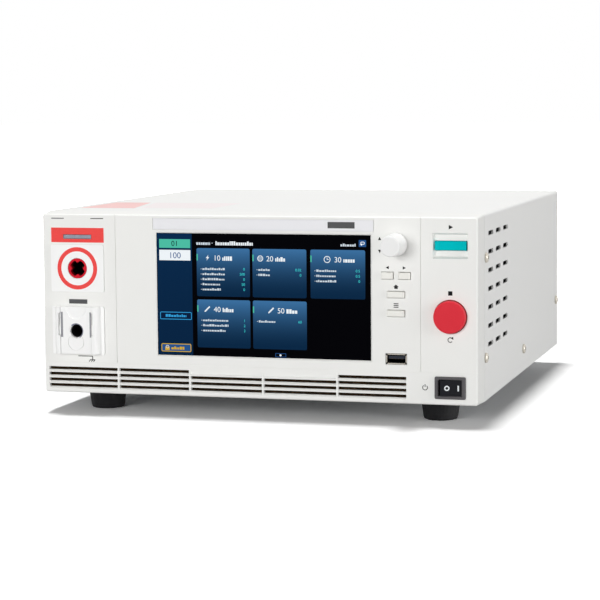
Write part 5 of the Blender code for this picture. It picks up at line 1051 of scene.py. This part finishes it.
# Small contacts and liners
def usb_insides():
    """Black sleeve and back plate inside the shell, painted shade of the port's inside, and the tongue with
    its four contacts.
    """
    centre = middle("usb_host_port")
    left = centre.x - 6.24 * MM
    right = centre.x + 6.24 * MM
    low = centre.z - 2.54 * MM
    high = centre.z + 2.54 * MM
    back = min(FRONT + 14 * MM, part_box("usb_host_port")[1].y - 0.4 * MM) - 0.05 * MM
    shape = bmesh.new()
    add_sleeve(shape, (left, right, low, high), 0.12 * MM, FRONT + 1.3 * MM, back - 0.2 * MM)
    add_block(shape, (left, back - 0.15 * MM, low), (right, back, high))
    tongue = centre.z - 0.1 * MM
    tip = FRONT + 1.9 * MM
    add_block(shape, (centre.x - 5.65 * MM, tip, tongue),
              (centre.x + 5.65 * MM, tip + 10 * MM, tongue + 2.0 * MM), 1)
    for step in (-1.5, -0.5, 0.5, 1.5):
        x = centre.x + step * 2.3 * MM
        add_block(shape, (x - 0.5 * MM, tip + 0.6 * MM, tongue - 0.12 * MM),
                  (x + 0.5 * MM, tip + 8 * MM, tongue + 0.02 * MM), 2)
    make_piece("usb_host_insides", shape, "root", "black", contact_black, tongue_grey, gold)


def usb_slits():
    """Black bars at the corners of the shell's flared lip: painted shade seen through its slits."""
    centre = middle("usb_host_port")
    slits = Flats(FRONT + 0.3 * MM)
    for across in (-1, 1):
        for up in (-1, 1):
            start = (centre.x + across * 6.25 * MM, centre.z + up * 2.55 * MM)
            end = (centre.x + across * 7.10 * MM, centre.z + up * 3.40 * MM)
            slits.bar(start, end, 0.95 * MM)
    make_piece("usb_host_slits", slits.shape, "root", "black", contact_black)


def vent_filter():
    """Foam sheet pressed against the inside of the cooling slots."""
    shape = bmesh.new()
    add_block(shape, (LEFT + 5 * MM, FRONT + 3.1 * MM, BASE + 2.9 * MM),
              (RIGHT - 49 * MM, FRONT + 5.0 * MM, BASE + 19.5 * MM))
    make_piece("vent_filter", shape, "root", "black", foam)


def vent_shade_sheets():
    """Dark sheets that stand on the chassis between the side slots and the live units: painted shade that
    keeps the slots dark inside.
    """
    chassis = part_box("bottom_chassis")[0].z + 1.3 * MM
    for name, x in (("left", LEFT + 6 * MM), ("right", RIGHT - 6 * MM)):
        shape = bmesh.new()
        add_block(shape, (x - 0.25 * MM, FRONT + 34 * MM, chassis),
                  (x + 0.25 * MM, FRONT + 140 * MM, TOP - 4 * MM))
        make_piece("barrier_sheet_" + name, shape, "root", "black", barrier_sheet)


def inlet_blades():
    """Plated sleeves on the inlet's three blades."""
    centre = middle("ac_inlet")
    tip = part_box("ac_inlet")[1].y - 3.9 * MM
    shape = bmesh.new()
    for across, up in ((-7.0, -2.0), (0.0, 2.0), (7.0, -2.0)):
        x = centre.x + across * MM
        z = centre.z + up * MM
        add_block(shape, (x - 1.06 * MM, tip - 12.4 * MM, z - 2.06 * MM),
                  (x + 1.06 * MM, tip, z + 2.06 * MM))
    make_piece("inlet_blades", shape, "root", "nickel", nickel)


# Stage
FLOOR_REACH = 14.0
FLOOR_PALE = (0.40, 0.40, 0.40)     # what the floor throws back on the object
FLOOR_MIRRORED = (0.80, 0.80, 0.80)
FLOOR_NEAR = (1.14, 1.14, 1.14)
FLOOR_FAR = (3.5, 3.5, 3.5)


def floor():
    """Floor that looks white to the camera and keeps the object's shadow."""
    finish = Finish("pale_floor", shine=0.0)
    mirrored = finish.node("ShaderNodeLightPath", output="Is Glossy Ray")
    thrown = finish.mix(mirrored, FLOOR_PALE, FLOOR_MIRRORED)
    away = finish.node("ShaderNodeVectorMath", {0: finish.place()}, "Value", operation="LENGTH")
    fade = finish.node("ShaderNodeClamp", {"Value": (away - 0.5) / 0.5})
    seen = finish.mix(fade, FLOOR_NEAR, FLOOR_FAR)
    direct = finish.node("ShaderNodeLightPath", output="Is Camera Ray")
    finish.set({"Base Color": finish.mix(direct, thrown, seen), "Roughness": 0.9})
    mesh = bpy.data.meshes.new("floor")
    corners = rectangle(-FLOOR_REACH, FLOOR_REACH, -FLOOR_REACH, FLOOR_REACH)
    mesh.from_pydata([(x, y, 0) for x, y in corners], [], [(0, 1, 2, 3)])
    mesh.materials.append(finish.material)
    link_object("floor", mesh)


SKY_LEVEL = 0.10


def sky():
    """Faint even light, and plain white to the camera and in reflections."""
    world = bpy.data.worlds.new("studio")
    bpy.context.scene.world = world
    world.use_nodes = True
    graph = Graph(world.node_tree)
    seen = graph.node("ShaderNodeLightPath", output="Is Camera Ray")
    for other in ("Is Glossy Ray", "Is Transmission Ray"):
        seen = seen.maths("MAXIMUM", seen, graph.node("ShaderNodeLightPath", output=other))
    background = world.node_tree.nodes["Background"].inputs
    graph.feed(background["Color"], (1.0, 1.0, 1.0))
    graph.feed(background["Strength"], graph.node("ShaderNodeMix", {0: seen, 2: SKY_LEVEL, 3: 1.0}))


LAMPS = (
    # name, kind, place, aim, strength, size or angle, seen in reflections
    ("top_light", "SUN", (-0.08, 0.06, 1.0), (0.0, 0.0, 0.0), 2.08, math.radians(10), True),
    ("front_softbox", "AREA", (-0.55, -2.45, 0.32), (0.0, -0.17, 0.08), 49.5, 1.3, False),
    ("side_softbox", "AREA", (2.3, -0.55, 0.25), (0.15, 0.0, 0.08), 33.5, 1.2, True),
    ("rear_softbox", "AREA", (-0.3, 2.6, 0.45), (0.0, 0.19, 0.08), 24.0, 1.3, False),
)


def lights():
    """Steep light from above, and softboxes in front, behind and at the side."""
    for name, kind, place, aim, strength, spread, mirrored in LAMPS:
        data = bpy.data.lights.new(name, kind)
        data.energy = strength
        setattr(data, "angle" if kind == "SUN" else "size", spread)
        lamp = link_object(name, data)
        lamp.location = place
        lamp.visible_glossy = mirrored
        lamp.rotation_mode = "QUATERNION"
        lamp.rotation_quaternion = (Vector(place) - Vector(aim)).to_track_quat("Z", "Y")


FOCAL_LENGTH = 120.162
CAMERA_TURN = (0.1019, 0.2764, 0.0059)      # axis, times the angle in radians
CAMERA_PLACE = (0.4117, FRONT - 1.3306, BASE + 0.2110)


def camera():
    """Camera at the place and angle that the photograph's edges give."""
    data = bpy.data.cameras.new("camera")
    data.sensor_width = 36.0
    data.lens = FOCAL_LENGTH
    data.clip_start = 0.05
    data.clip_end = 100.0
    turn = Vector(CAMERA_TURN)
    seen = Matrix.Rotation(turn.length, 3, turn.normalized()) @ Matrix(((1, 0, 0), (0, 0, -1), (0, 1, 0)))
    axes = Matrix((seen[0], -seen[1], -seen[2])).transposed().to_4x4()
    thing = link_object("camera", data)
    thing.matrix_world = Matrix.Translation(CAMERA_PLACE) @ axes
    bpy.context.scene.camera = thing


def main():
    dress_nodes()
    display_picture()
    front_prints()
    red_prints()
    slider_shades()
    dark_tags()
    top_labels()
    rocker_marks()
    cover_screws()
    fan_guard()
    contact_rows("signal_contacts", "signal_connector", 12)
    contact_rows("serial_contacts", "serial_connector", 5)
    usb_insides()
    usb_slits()
    vent_filter()
    vent_shade_sheets()
    inlet_blades()
    floor()
    sky()
    lights()
    camera()
    bpy.context.scene.view_settings.view_transform = "Standard"


main()
